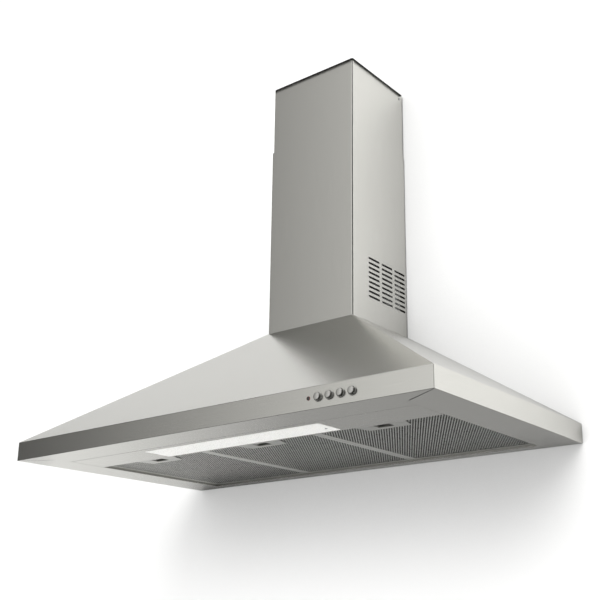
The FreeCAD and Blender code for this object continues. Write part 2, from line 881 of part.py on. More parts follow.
# ---- blower
def scroll_prism(extra, x0, x1, top):
    """The scroll's outline, let out by extra, drawn across X. The air leaves up at its back."""
    def on_spiral(angle):
        turned = (angle - tongue_angle) / (360 - tongue_angle)
        radius = scroll_inner + scroll_growth * turned + extra
        turn = math.radians(angle)
        return V(x0, scroll_y + radius * math.cos(turn), scroll_up + radius * math.sin(turn))

    channel = tongue_reach - extra
    tongue_height = math.sqrt((scroll_inner + extra) ** 2 - channel ** 2)
    tongue = V(x0, scroll_y + channel, scroll_up + tongue_height)
    stops = [tongue_angle + (360 - tongue_angle) * i / 4 for i in range(5)]
    edges = []
    start = tongue
    for first, last in zip(stops, stops[1:]):
        end = on_spiral(last)
        edges.append(Part.Arc(start, on_spiral((first + last) / 2), end).toShape())
        start = end
    back_top = V(x0, start.y, top)
    front_top = V(x0, tongue.y, top)
    edges += [Part.makeLine(start, back_top), Part.makeLine(back_top, front_top),
              Part.makeLine(front_top, tongue)]
    return Part.Face(Part.Wire(edges)).extrude(V(x1 - x0, 0, 0))


def blower_housing():
    """The right half of the scroll housing, from the middle joint to the inlet side."""
    outside = scroll_prism(scroll_wall, 0, scroll_half, outlet_top)
    flange = box(0, outlet_flange_half_x, duct_y - outlet_flange_half_y,
                 duct_y + outlet_flange_half_y, outlet_top - scroll_wall, outlet_top)
    inside = scroll_prism(0, -past, scroll_half - scroll_wall, outlet_top + past)
    inlet = rod(inlet_radius, V(0, scroll_y, scroll_up), V(scroll_half + past, scroll_y, scroll_up))
    holes = [rod(screw_radius, V(x, y, outlet_top - 2 * scroll_wall), V(x, y, outlet_top + past))
             for x, y in blower_screw_places() if x > 0]
    return join([outside, flange]).cut([inside, inlet] + holes)


def blower_screw_places():
    return [(x, duct_y + y) for x in (-blower_screw_x, blower_screw_x)
            for y in (-blower_screw_y, blower_screw_y)]


def guard_at(x0):
    """A finger guard: an outer ring, inner rings and spokes, lying from x0 outwards."""
    def ring(outer, inner):
        start = V(x0, scroll_y, scroll_up)
        end = V(x0 + guard_thickness, scroll_y, scroll_up)
        side = V(1, 0, 0)
        return rod(outer, start, end).cut(rod(inner, start - side, end + side))

    pieces = [ring(guard_radius, inlet_radius)]
    for i in range(guard_rings):
        outer = inlet_radius - (i + 1) * guard_ring_pitch + guard_ring_width
        pieces.append(ring(outer, outer - guard_ring_width))
    for i in range(guard_spokes):
        spoke = box(x0, x0 + guard_thickness, -guard_ring_width / 2, guard_ring_width / 2,
                    inlet_radius - guard_rings * guard_ring_pitch, inlet_radius + past)
        spoke.rotate(V(0, 0, 0), V(1, 0, 0), 360 * i / guard_spokes)
        spoke.translate(V(0, scroll_y, scroll_up))
        pieces.append(spoke)
    return join(pieces)


def motor_bracket():
    """The ring and arms across the left inlet that carry the motor."""
    x1 = -scroll_half
    x0 = x1 - motor_bracket_thickness
    start = V(x0, scroll_y, scroll_up)
    end = V(x1, scroll_y, scroll_up)
    side = V(1, 0, 0)
    ring = rod(guard_radius, start, end).cut(rod(inlet_radius, start - side, end + side))
    pieces = [ring, rod(motor_radius - bracket_disc_inset, start, end)]
    for i in range(bracket_arms):
        arm = box(x0, x1, -bracket_arm_width / 2, bracket_arm_width / 2,
                  motor_radius / 2, inlet_radius + bracket_arm_lap)
        arm.rotate(V(0, 0, 0), V(1, 0, 0), 360 * i / bracket_arms)
        arm.translate(V(0, scroll_y, scroll_up))
        pieces.append(arm)
    return join(pieces)


def motor():
    start = V(motor_face, scroll_y, scroll_up)
    end = V(motor_end, scroll_y, scroll_up)
    can = rod(motor_radius, start, end)
    neck = rod(motor_radius, end - V(motor_neck_length, 0, 0), end)
    boss = rod(hub_radius, end - V(motor_neck_length, 0, 0), end)
    bore = rod(shaft_radius + shaft_fit, end - V(shaft_in_motor, 0, 0), end + V(past, 0, 0))
    return can.cut(neck).fuse(boss).removeSplitter().cut(bore)


def motor_shaft():
    return rod(shaft_radius, V(motor_end - shaft_in_motor + motor_end_gap, scroll_y, scroll_up),
               V(hub_front, scroll_y, scroll_up))


def impeller():
    """A double-inlet wheel: hub and disc in the middle, curved blades, and a ring at each end."""
    def disc(outer, inner, x0, x1):
        start = V(x0, 0, 0)
        end = V(x1, 0, 0)
        side = V(1, 0, 0)
        return rod(outer, start, end).cut(rod(inner, start - side, end + side))

    half_disc = ring_thickness / 2
    pieces = [
        disc(impeller_radius, shaft_radius, -half_disc, half_disc),
        disc(hub_radius, shaft_radius, -hub_back, hub_front),
        disc(impeller_radius, impeller_inner, -impeller_half, -impeller_half + ring_thickness),
        disc(impeller_radius, impeller_inner, impeller_half - ring_thickness, impeller_half),
    ]
    inner = impeller_inner + blade_thickness / 2
    outer = impeller_radius - blade_thickness / 2
    middle = (inner + outer) / 2
    x0 = -impeller_half + ring_thickness / 2
    lower = [V(x0, 0, inner), V(x0, blade_bow, middle), V(x0, 0, outer)]
    upper = [point + V(0, blade_thickness, 0) for point in lower]
    outline = Part.Wire([
        Part.Arc(*lower).toShape(),
        Part.makeLine(lower[2], upper[2]),
        Part.Arc(*reversed(upper)).toShape(),
        Part.makeLine(upper[0], lower[0]),
    ])
    blade = Part.Face(outline).extrude(V(2 * impeller_half - ring_thickness, 0, 0))
    for i in range(blade_count):
        turned = blade.copy()
        turned.rotate(V(0, 0, 0), V(1, 0, 0), 360 * i / blade_count)
        pieces.append(turned)
    wheel = join(pieces)
    wheel.translate(V(0, scroll_y, scroll_up))
    return wheel


# ---- outlet
def flap_axis_z():
    return canopy_height + flap_axis_up


def outlet_collar():
    """The round duct spigot on its square flange, with the ledge that the flaps rest on."""
    low = canopy_height
    middle = V(0, duct_y, 0)
    flange = box(-collar_flange_half, collar_flange_half, duct_y - collar_flange_half,
                 duct_y + collar_flange_half, low, low + collar_flange)
    up = V(0, 0, 1)
    tube = rod(collar_radius, middle + up * low, middle + up * (low + collar_height))
    bore = collar_radius - collar_wall
    ledge_top = flap_axis_z() - flap_drop - flap_thickness
    ledge_low = ledge_top - ledge_thickness
    throat = bore - ledge_width
    cuts = [
        rod(bore, middle + up * (low - past), middle + up * ledge_low),
        rod(throat, middle + up * (ledge_low - past), middle + up * (ledge_top + past)),
        rod(bore, middle + up * ledge_top, middle + up * (low + collar_height + past)),
        rod(pin_radius + pin_fit, V(-collar_radius - past, duct_y, flap_axis_z()),
            V(collar_radius + past, duct_y, flap_axis_z())),
    ]
    cuts += [rod(screw_radius + screw_clearance, V(x, y, low - past),
                 V(x, y, low + 2 * collar_flange)) for x, y in blower_screw_places()]
    return join([flange, tube]).cut(cuts)


def flap_pin():
    return rod(pin_radius, V(-collar_radius, duct_y, flap_axis_z()),
               V(collar_radius, duct_y, flap_axis_z()))


def flap(toward, knuckle_xs):
    """A half-disc flap that reaches towards toward * Y from the pin, with its own knuckles."""
    radius = collar_radius - collar_wall - flap_edge_gap
    top = -flap_drop
    low = top - flap_thickness
    disc = rod(radius, V(0, 0, low), V(0, 0, top))
    half = box(-radius, radius, flap_root_gap, radius, low, top)
    wing = disc.common(half)
    pieces = [wing]
    for x in knuckle_xs:
        pieces.append(rod(knuckle_radius, V(x - knuckle_length / 2, 0, 0),
                          V(x + knuckle_length / 2, 0, 0)))
        pieces.append(box(x - knuckle_length / 2, x + knuckle_length / 2, pin_radius + knuckle_gap,
                          flap_root_gap + past, low, top))
    bore = rod(pin_radius + pin_fit, V(-radius, 0, 0), V(radius, 0, 0))
    shape = join(pieces).cut(bore)
    if toward < 0:
        shape = shape.mirror(V(0, 0, 0), V(0, 1, 0))
    return shape.translated(V(0, duct_y, flap_axis_z()))


def knuckle_places(shift):
    """Knuckle centres of one flap: two pairs, shifted so that the flaps' knuckles alternate."""
    step = (knuckle_length + knuckle_gap) / 2
    return [-knuckle_offset + shift * step, knuckle_offset + shift * step]


def blower_screws():
    seat_z = canopy_height + collar_flange
    return [screw(V(x, y, seat_z), V(0, 0, -1), screw_radius, screw_length,
                  screw_head_radius, screw_head_height) for x, y in blower_screw_places()]


# ---- electrics
def terminal_box():
    x0 = terminal_x - terminal_width / 2
    x1 = terminal_x + terminal_width / 2
    z0 = terminal_up
    z1 = terminal_up + terminal_height
    outside = box(x0, x1, -back_sheet - terminal_depth, -back_sheet, z0, z1)
    inside = box(x0 + terminal_wall, x1 - terminal_wall, -back_sheet - terminal_depth - past,
                 -back_sheet - terminal_wall, z0 + terminal_wall, z1 - terminal_wall)
    return outside.cut(inside)


def terminal_lid():
    x0 = terminal_x - terminal_width / 2
    x1 = terminal_x + terminal_width / 2
    face = -back_sheet - terminal_depth
    cover = box(x0, x1, face - terminal_wall, face, terminal_up, terminal_up + terminal_height)
    inset = terminal_wall + filter_fit
    plug = box(x0 + inset, x1 - inset, face, face + 2 * terminal_wall, terminal_up + inset,
               terminal_up + terminal_height - inset)
    return join([cover, plug])


def cable_gland():
    """The bushing in the canopy's top that leads the mains cable up into the chimney."""
    low = outlet_top - gland_length / 2
    high = canopy_height + gland_length / 2
    body = rod(gland_radius, V(gland_x, -gland_in, low), V(gland_x, -gland_in, high))
    flange = rod(gland_radius + gland_flange, V(gland_x, -gland_in, canopy_height),
                 V(gland_x, -gland_in, canopy_height + gland_flange))
    nut = rod(gland_radius + gland_flange, V(gland_x, -gland_in, outlet_top - gland_flange),
              V(gland_x, -gland_in, outlet_top))
    bore = rod(gland_bore, V(gland_x, -gland_in, low - past), V(gland_x, -gland_in, high + past))
    return join([body, flange, nut]).cut(bore)


def capacitor():
    x0 = capacitor_x - capacitor_width / 2
    x1 = capacitor_x + capacitor_width / 2
    body = box(x0, x1, -back_sheet - capacitor_depth, -back_sheet, capacitor_up,
               capacitor_up + capacitor_height)
    lug = box(capacitor_x - capacitor_lug / 2, capacitor_x + capacitor_lug / 2,
              -back_sheet - capacitor_lug_thickness, -back_sheet,
              capacitor_up + capacitor_height, capacitor_up + capacitor_height + capacitor_lug)
    middle = capacitor_up + capacitor_height + capacitor_lug / 2
    hole = rod(screw_radius, V(capacitor_x, -back_sheet - 2 * capacitor_lug_thickness, middle),
               V(capacitor_x, 0, middle))
    rounded = body.makeFillet(capacitor_lug_thickness, [
        edge for edge in body.Edges if abs(edge.tangentAt(edge.FirstParameter).z) > 0.9
        and edge.CenterOfMass.y < -back_sheet - past
    ])
    return join([rounded, lug]).cut(hole)


# ---- chimney covers
def chimney_cover(half, front, back, z0, z1):
    """A three-sided cover with bent front edges and narrow returns along the wall."""
    def rounded(side, y0, y1, radius):
        block = box(-side, side, y0, y1, z0, z1)
        edges = [edge for edge in block.Edges
                 if abs(edge.tangentAt(edge.FirstParameter).z) > 0.9
                 and edge.CenterOfMass.y < (y0 + y1) / 2]
        return block.makeFillet(radius, edges)

    outside = rounded(half, front, back, chimney_bend)
    inside = rounded(half - sheet, front + sheet, back - sheet, chimney_bend - sheet)
    open_half = half - sheet - return_width
    gap = box(-open_half, open_half, back - 2 * sheet, back + past, z0, z1)
    return outside.cut([inside, gap])


def vent_slot(x, y, z):
    half = slot_height / 2
    reach = slot_length / 2 - half
    bar = box(x - 2 * sheet, x + 2 * sheet, y - reach, y + reach, z - half, z + half)
    ends = [rod(half, V(x - 2 * sheet, y + side * reach, z), V(x + 2 * sheet, y + side * reach, z))
            for side in (-1, 1)]
    return join([bar] + ends)


def chimney_tab_places():
    x = lower_inner_half - chimney_tab / 2
    return [(side * x, duct_y + y) for side in (-1, 1) for y in (-chimney_tab_y, chimney_tab_y)]


def lower_chimney():
    cover = chimney_cover(chimney_half, -chimney_depth, 0, canopy_height, lower_top)
    tabs = []
    for x, y in chimney_tab_places():
        reach = math.copysign(chimney_tab / 2 + sheet, x)
        inner = x - math.copysign(chimney_tab / 2, x)
        tabs.append(box(min(inner, x + reach), max(inner, x + reach), y - chimney_tab_half,
                        y + chimney_tab_half, canopy_height, canopy_height + sheet))
    cuts = [rod(panel_screw_radius + screw_clearance / 2, V(x, y, canopy_height - past),
                V(x, y, canopy_height + 2 * sheet)) for x, y in chimney_tab_places()]
    middle = chimney_half - sheet / 2
    for row in range(slot_rows):
        z = canopy_height + slot_first_row_up + row * slot_row_pitch
        for column in range(slot_columns):
            y = -slot_first_column_in - column * slot_column_pitch
            cuts += both_sides(vent_slot(middle, y, z))
    return join([cover] + tabs).cut(cuts)


def lower_chimney_screws():
    return [screw(V(x, y, canopy_height + sheet), V(0, 0, -1), panel_screw_radius,
                  panel_screw_length, panel_screw_head, screw_head_height)
            for x, y in chimney_tab_places()]


def chimney_screw_height():
    return upper_top - chimney_screw_below_top


def upper_chimney():
    cover = chimney_cover(upper_half, upper_front, upper_back, upper_bottom, upper_top)
    hole = rod(screw_radius + screw_clearance,
               V(upper_inner_half - past, -chimney_screw_in, chimney_screw_height()),
               V(upper_half + past, -chimney_screw_in, chimney_screw_height()))
    return cover.cut(both_sides(hole))


def upper_bracket():
    """The wall bracket inside the top of the chimney, between its returns."""
    z1 = upper_top - bracket_below_top
    z0 = z1 - bracket_height
    base_half = upper_inner_half - return_width - bracket_gap
    base = box(-base_half, base_half, -bracket_sheet, 0, z0, z1)
    arm_back = upper_back - sheet - bracket_gap
    arm_front = arm_back - bracket_sheet
    tab_out = upper_inner_half - bracket_gap
    step = box(base_half - return_width, base_half, arm_front, 0, z0, z1)
    arm = box(base_half - return_width, tab_out, arm_front, arm_back, z0, z1)
    tab = box(tab_out - bracket_sheet, tab_out, -bracket_tab_deep, arm_back, z0, z1)
    hole = rod(screw_radius, V(tab_out - 2 * bracket_sheet, -chimney_screw_in,
                               chimney_screw_height()),
               V(tab_out + past, -chimney_screw_in, chimney_screw_height()))
    middle = (z0 + z1) / 2
    wall_hole = rod(bracket_hole_radius, V(bracket_hole_x, -2 * bracket_sheet, middle),
                    V(bracket_hole_x, past, middle))
    shape = join([base] + both_sides(step) + both_sides(arm) + both_sides(tab))
    return shape.cut(both_sides(hole) + both_sides(wall_hole))


def chimney_screws():
    seat = V(upper_half, -chimney_screw_in, chimney_screw_height())
    return both_sides(screw(seat, V(-1, 0, 0), screw_radius, chimney_screw_length,
                            chimney_screw_head, screw_head_height / 2))


def build():
    os.makedirs("parts", exist_ok=True)
    for name, shape in zip(["front", "left", "right", "top"], canopy_parts()):
        save("canopy_" + name, shape)
    save("back_panel", back_panel())
    save_group("wall_hooks", [wall_hook(-hook_x), wall_hook(hook_x)])
    save("rear_rail", rear_rail())
    save("light_panel", light_panel())
    save_group("panel_screws", panel_screws())
    save("light_cover", light_cover())
    save("cover_screw", cover_screw())
    save("lamp_tray", lamp_tray())
    save_group("lamp_holders", both_sides(lamp_holder()))
    save_group("lamps", both_sides(lamp()))
    pieces = [
        ("frame", [filter_frame()]),
        ("mesh", filter_meshes()),
        ("core", filter_core()),
        ("handle", [handle()]),
        ("latch", [latch()]),
        ("springs", latch_springs()),
    ]
    for side, x in zip(filter_names, filter_xs):
        for piece, shapes in pieces:
            moved = [shape.translated(V(x, 0, 0)) for shape in shapes]
            save_group("filter_%s_%s" % (piece, side), moved)
    for number, x in enumerate(button_xs, 1):
        save("button_%d" % number, button(x))
    save_group("button_bezels", [bezel(x) for x in button_xs])
    save("indicator_lens", indicator_lens())
    save("control_housing", control_housing())
    save("control_board", control_board())
    save("blower_housing_right", blower_housing())
    save("blower_housing_left", mirrored(blower_housing()))
    save("inlet_guard_right", guard_at(scroll_half))
    save("inlet_guard_left", guard_at(-scroll_half - motor_bracket_thickness - guard_thickness))
    save("motor_bracket", motor_bracket())
    save("motor", motor())
    save("motor_shaft", motor_shaft())
    save("impeller", impeller())
    save("outlet_collar", outlet_collar())
    save("flap_pin", flap_pin())
    save("flap_front", flap(-1, knuckle_places(-1)))
    save("flap_rear", flap(1, knuckle_places(1)))
    save_group("blower_screws", blower_screws())
    save("terminal_box", terminal_box())
    save("terminal_lid", terminal_lid())
    save("cable_gland", cable_gland())
    save("capacitor", capacitor())
    save("lower_chimney", lower_chimney())
    save_group("lower_chimney_screws", lower_chimney_screws())
    save("upper_chimney", upper_chimney())
    save("upper_bracket", upper_bracket())
    save_group("chimney_screws", chimney_screws())


build()
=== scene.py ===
import json
import math

import bmesh
import bpy
from mathutils import Matrix, Vector
from mathutils.geometry import delaunay_2d_cdt


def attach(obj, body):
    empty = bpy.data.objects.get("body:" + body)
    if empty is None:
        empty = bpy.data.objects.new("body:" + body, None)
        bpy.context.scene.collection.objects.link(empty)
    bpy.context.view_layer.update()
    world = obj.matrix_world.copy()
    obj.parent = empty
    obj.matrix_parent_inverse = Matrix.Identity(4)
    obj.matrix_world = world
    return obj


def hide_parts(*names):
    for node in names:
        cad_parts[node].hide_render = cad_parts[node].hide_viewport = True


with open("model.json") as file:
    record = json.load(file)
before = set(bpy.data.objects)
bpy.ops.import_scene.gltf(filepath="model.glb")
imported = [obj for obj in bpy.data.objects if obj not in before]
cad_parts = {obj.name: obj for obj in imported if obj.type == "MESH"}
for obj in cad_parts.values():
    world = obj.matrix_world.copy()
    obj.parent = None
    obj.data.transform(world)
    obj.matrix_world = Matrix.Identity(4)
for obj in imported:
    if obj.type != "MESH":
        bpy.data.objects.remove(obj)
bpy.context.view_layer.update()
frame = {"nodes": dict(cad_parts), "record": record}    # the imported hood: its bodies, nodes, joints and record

scene = bpy.context.scene
mm = 0.001    # shapes are drawn in millimetres and made in metres
print("frame loaded with", len(frame["nodes"]), "CAD nodes")


# Small tools for materials

def linear(hexColour):    # an sRGB hex colour as linear RGBA
    parts = [int(hexColour[i:i + 2], 16) / 255 for i in (0, 2, 4)]
    return [c / 12.92 if c <= 0.04045 else ((c + 0.055) / 1.055) ** 2.4 for c in parts] + [1]


def addNode(tree, kind, inputs=None, **settings):    # one node with its settings and its links
    made = tree.nodes.new(kind)
    for name, value in settings.items():
        if name == "stops":    # the colours of a ramp, as (place, hex) pairs
            for element, (place, hexColour) in zip(made.color_ramp.elements, value):
                element.position = place
                element.color = linear(hexColour)
        else:
            setattr(made, name, value)
    for name, value in (inputs or {}).items():
        if isinstance(value, bpy.types.NodeSocket):
            tree.links.new(value, made.inputs[name])
        else:
            made.inputs[name].default_value = value
    return made


def newMaterial(name):
    made = bpy.data.materials.new(name)
    made.use_nodes = True
    made.node_tree.nodes.clear()
    return made


def patternPlace(tree, size):    # object coordinates counted in pattern steps of size mm
    place = addNode(tree, "ShaderNodeTexCoord").outputs["Object"]
    steps = [1 / (s * mm) for s in size]
    return addNode(tree, "ShaderNodeMapping", {"Vector": place, "Scale": steps}).outputs["Vector"]


def closeMaterial(made, values):
    tree = made.node_tree
    shader = addNode(tree, "ShaderNodeBsdfPrincipled", values)
    addNode(tree, "ShaderNodeOutputMaterial", {"Surface": shader.outputs["BSDF"]})
    return made


# Metals

stainless = {
    "light": "d1d0cb",
    "dark": "cbcac5",
    "grainWide": 0.6,    # a real belt leaves lines of about 0.1 mm, drawn coarser so that they show
    "grainLong": 60,
    "patch": 140,
    "roughLow": 0.225,
    "roughHigh": 0.255,
    "lineDeep": 0.0004,
}


def brushedStainless(name, along):
    # 304 stainless sheet, belt brushed: a soft grey mirror with fine lines that stretch highlights
    made = newMaterial(name)
    tree = made.node_tree
    size = [stainless["grainWide"]] * 3
    size[along] = stainless["grainLong"]
    grain = addNode(tree, "ShaderNodeTexNoise", {
        "Vector": patternPlace(tree, size), "Scale": 1, "Detail": 3, "Roughness": 0.6})
    patch = addNode(tree, "ShaderNodeTexNoise", {
        "Vector": patternPlace(tree, [stainless["patch"]] * 3), "Scale": 1, "Detail": 2})
    tone = addNode(tree, "ShaderNodeValToRGB", {"Fac": grain.outputs["Fac"]},
                   stops=[(0.3, stainless["dark"]), (0.7, stainless["light"])])
    mixed = addNode(tree, "ShaderNodeMath", {0: grain.outputs["Fac"], 1: patch.outputs["Fac"]},
                    operation="ADD")
    rough = addNode(tree, "ShaderNodeMapRange", {
        "Value": mixed.outputs["Value"], "From Min": 0.6, "From Max": 1.4,
        "To Min": stainless["roughLow"], "To Max": stainless["roughHigh"]})
    lines = addNode(tree, "ShaderNodeBump", {
        "Height": grain.outputs["Fac"], "Strength": 0.5, "Distance": stainless["lineDeep"] * mm})
    return closeMaterial(made, {
        "Base Color": tone.outputs["Color"], "Metallic": 1,
        "Roughness": rough.outputs["Result"], "Normal": lines.outputs["Normal"]})


def sheetMetal(name, light, dark, cell, rough, stretch=(1, 1, 1), deep=0.01, metallic=1):
    # Rolled or plated metal: cell is the size in mm of its spangle, rolling marks or soft dents
    made = newMaterial(name)
    tree = made.node_tree
    size = [cell * s for s in stretch]
    cells = addNode(tree, "ShaderNodeTexNoise", {
        "Vector": patternPlace(tree, size), "Scale": 1, "Detail": 4, "Roughness": 0.55})
    tone = addNode(tree, "ShaderNodeValToRGB", {"Fac": cells.outputs["Fac"]},
                   stops=[(0.35, dark), (0.65, light)])
    roughness = addNode(tree, "ShaderNodeMapRange", {
        "Value": cells.outputs["Fac"], "From Min": 0.3, "From Max": 0.7,
        "To Min": rough - 0.04, "To Max": rough + 0.04})
    relief = addNode(tree, "ShaderNodeBump", {
        "Height": cells.outputs["Fac"], "Strength": 0.4, "Distance": deep * mm})
    return closeMaterial(made, {
        "Base Color": tone.outputs["Color"], "Metallic": metallic,
        "Roughness": roughness.outputs["Result"], "Normal": relief.outputs["Normal"]})


def spangledZinc():
    # Hot dip galvanised sheet: dull grey crystals of about 9 mm that each catch the light apart
    made = newMaterial("spangledZinc")
    tree = made.node_tree
    crystal = addNode(tree, "ShaderNodeTexVoronoi", {
        "Vector": patternPlace(tree, [9] * 3), "Scale": 1, "Randomness": 1})
    fine = addNode(tree, "ShaderNodeTexNoise", {
        "Vector": patternPlace(tree, [1.5] * 3), "Scale": 1, "Detail": 2})
    grey = addNode(tree, "ShaderNodeRGBToBW", {"Color": crystal.outputs["Color"]})
    mixed = addNode(tree, "ShaderNodeMath", {0: grey.outputs["Val"], 1: fine.outputs["Fac"]},
                    operation="MULTIPLY")
    tone = addNode(tree, "ShaderNodeValToRGB", {"Fac": mixed.outputs["Value"]},
                   stops=[(0.05, "a3a7aa"), (0.5, "c3c6c8")])
    rough = addNode(tree, "ShaderNodeMapRange", {
        "Value": mixed.outputs["Value"], "To Min": 0.36, "To Max": 0.56})
    relief = addNode(tree, "ShaderNodeBump", {
        "Height": grey.outputs["Val"], "Strength": 0.3, "Distance": 0.01 * mm})
    return closeMaterial(made, {
        "Base Color": tone.outputs["Color"], "Metallic": 1,
        "Roughness": rough.outputs["Result"], "Normal": relief.outputs["Normal"]})


# Plastics, glass and ceramic

def mouldedPlastic(name, colour, shade, grain, rough, deep=0.02, ior=1.53, coat=0.0, glow=None):
    # Injection moulded plastic: grain is its spark eroded texture in mm, deep how far it stands out
    made = newMaterial(name)
    tree = made.node_tree
    fine = addNode(tree, "ShaderNodeTexNoise", {
        "Vector": patternPlace(tree, [grain] * 3), "Scale": 1, "Detail": 3})
    broad = addNode(tree, "ShaderNodeTexNoise", {
        "Vector": patternPlace(tree, [40] * 3), "Scale": 1, "Detail": 2})
    tone = addNode(tree, "ShaderNodeValToRGB", {"Fac": broad.outputs["Fac"]},
                   stops=[(0.3, shade), (0.7, colour)])
    roughness = addNode(tree, "ShaderNodeMapRange", {
        "Value": fine.outputs["Fac"], "From Min": 0.3, "From Max": 0.7,
        "To Min": rough - 0.05, "To Max": rough + 0.05})
    relief = addNode(tree, "ShaderNodeBump", {
        "Height": fine.outputs["Fac"], "Strength": 0.4, "Distance": deep * mm})
    values = {
        "Base Color": tone.outputs["Color"], "Roughness": roughness.outputs["Result"],
        "IOR": ior, "Coat Weight": coat, "Normal": relief.outputs["Normal"]}
    if glow:
        values["Emission Color"] = linear(glow[0])
        values["Emission Strength"] = glow[1]
    return closeMaterial(made, values)


def frostedGlass():
    # Soda glass lamp bulb, acid frosted inside: a milky white that lets a little light through
    made = newMaterial("frostedGlass")
    tree = made.node_tree
    frost = addNode(tree, "ShaderNodeTexNoise", {
        "Vector": patternPlace(tree, [0.8] * 3), "Scale": 1, "Detail": 2})
    rough = addNode(tree, "ShaderNodeMapRange", {
        "Value": frost.outputs["Fac"], "To Min": 0.3, "To Max": 0.5})
    tone = addNode(tree, "ShaderNodeValToRGB", {"Fac": frost.outputs["Fac"]},
                   stops=[(0.3, "f1f0ea"), (0.7, "fbfaf5")])
    return closeMaterial(made, {
        "Base Color": tone.outputs["Color"], "Roughness": rough.outputs["Result"],
        "IOR": 1.52, "Transmission Weight": 0.35})


def circuitLaminate():
    # Glass epoxy board under green solder resist: glossy, with faint copper runs 1.2 mm apart
    made = newMaterial("circuitLaminate")
    tree = made.node_tree
    runs = addNode(tree, "ShaderNodeTexBrick", {
        "Vector": patternPlace(tree, [2.4, 2.4, 2.4]), "Scale": 1, "Mortar Size": 0.12,
        "Color1": linear("1f5a35"), "Color2": linear("1b5231"), "Mortar": linear("3f7a48")})
    relief = addNode(tree, "ShaderNodeBump", {
        "Height": runs.outputs["Fac"], "Strength": 0.3, "Distance": 0.03 * mm})
    return closeMaterial(made, {
        "Base Color": runs.outputs["Color"], "Roughness": 0.3, "IOR": 1.55,
        "Coat Weight": 0.4, "Normal": relief.outputs["Normal"]})


steelAcross = brushedStainless("brushedStainlessAcross", 0)    # grain along the hood's width
steelDeep = brushedStainless("brushedStainlessDeep", 1)        # grain from front to back
steelUp = brushedStainless("brushedStainlessUp", 2)            # grain up the chimney
zincSheet = spangledZinc()
zincScrew = sheetMetal("zincPlatedScrew", "c9cbcc", "a9acae", 2.5, 0.28)
drawnSteel = sheetMetal("drawnSpringWire", "b4b5b6", "8b8d8f", 1.2, 0.3, (1, 5, 1))
turnedChrome = sheetMetal("satinChromedBrass", "c9c8c4", "bdbcb8", 3, 0.3, deep=0.002)
pressedAluminium = sheetMetal("pressedAluminium", "dededa", "d0d0cc", 6, 0.32, (0.3, 4, 1))
handleAluminium = sheetMetal("satinAluminium", "d2d2ce", "c4c4c0", 5, 0.38, (4, 0.4, 1))
meshAluminium = sheetMetal("expandedAluminiumMesh", "d3d3cf", "c6c6c2", 6, 0.3, (0.3, 4, 1))
# the pleated core is drawn near black: painted shade for the deep folds seen through the mesh
paintedShadeCore = sheetMetal("pleatedAluminiumCore", "3c3c3a", "2c2c2b", 3, 0.6)
lacqueredCan = sheetMetal("lacqueredMotorCan", "6d7074", "5a5d61", 4, 0.42, metallic=0.5)
# painted light: a faint glow brightens the opal cover
opalAcrylic = mouldedPlastic("opalAcrylic", "f4f4f1", "efefec", 1.5, 0.3, 0.004, 1.49,
                             glow=("fffdf8", 0.07))
ceramic = mouldedPlastic("glazedSteatite", "efece2", "e3dfd3", 2, 0.22, 0.006, 1.6, coat=0.3)
smokedLens = mouldedPlastic("smokedPolycarbonate", "0d0909", "080606", 1, 0.12, 0.001, 1.585,
                            coat=0.6)
redTint = mouldedPlastic("redTintedPolycarbonate", "7d5450", "6b4643", 1, 0.2, 0.001, 1.585)
blackPlastic = mouldedPlastic("mouldedBlackAbs", "26272a", "1e1f21", 0.7, 0.48)
guardPlastic = mouldedPlastic("mouldedGuardNylon", "37383b", "2c2d30", 0.8, 0.42)
wheelPlastic = mouldedPlastic("mouldedWheelNylon", "3c3f42", "303336", 0.9, 0.4)
latchPlastic = mouldedPlastic("mouldedLatchPolyamide", "858584", "737372", 0.7, 0.4)
casePlastic = mouldedPlastic("mouldedCaseResin", "d9d8d2", "cccbc4", 0.9, 0.45)
lampGlass = frostedGlass()
boardGreen = circuitLaminate()
print("materials made")


# Small tools for shapes. Every shape is a list of (corner points, material number) polygons.

def makePiece(name, polygons, materials, body, replaced=()):
    points, known, faces, numbers = [], {}, [], []
    for corners, number in polygons:
        face = []
        for corner in corners:
            key = tuple(round(c, 3) for c in corner)
            if key not in known:
                known[key] = len(points)
                points.append([c * mm for c in key])
            if known[key] not in face:
                face.append(known[key])
        if len(face) > 2:
            faces.append(face)
            numbers.append(number)
    mesh = bpy.data.meshes.new(name)
    mesh.from_pydata(points, [], faces)
    mesh.polygons.foreach_set("material_index", numbers)
    for material in materials:
        mesh.materials.append(material)
    made = bpy.data.objects.new(name, mesh)
    scene.collection.objects.link(made)
    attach(made, body)
    if replaced:
        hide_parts(*replaced)
    return made


def freeze(made):    # what the modifiers make becomes the piece's own mesh
    bpy.context.view_layer.update()
    found = made.evaluated_get(bpy.context.evaluated_depsgraph_get())
    mesh = bpy.data.meshes.new_from_object(found)
    made.modifiers.clear()
    made.data = mesh


def smooth(made, angle=32):    # round parts shade smoothly and flat parts stay flat
    mesh = made.data
    mesh.shade_smooth()
    mesh.set_sharp_from_angle(angle=math.radians(angle))
    modifier = made.modifiers.new("FlatStaysFlat", "WEIGHTED_NORMAL")
    modifier.weight = 100
    modifier.keep_sharp = True
    return made


def foldSheet(made, thickness, radius, weigh=None, segments=4):
    # The drawn faces are the outside of a sheet. Edges between them become bends, and the
    # sheet's thickness goes inward.
    mesh = made.data
    work = bmesh.new()
    work.from_mesh(mesh)
    layer = work.edges.layers.float.new("bevel_weight_edge")
    for edge in work.edges:
        if len(edge.link_faces) == 2 and edge.calc_face_angle() > math.radians(12):
            a, b = (v.co / mm for v in edge.verts)
            edge[layer] = weigh(a, b) if weigh else 1
    work.to_mesh(mesh)
    work.free()
    bend = made.modifiers.new("Bends", "BEVEL")
    bend.limit_method = "WEIGHT"
    bend.width = radius * mm
    bend.segments = segments
    sheet = made.modifiers.new("Sheet", "SOLIDIFY")
    sheet.thickness = thickness * mm
    sheet.offset = -1
    freeze(made)
    return smooth(made)


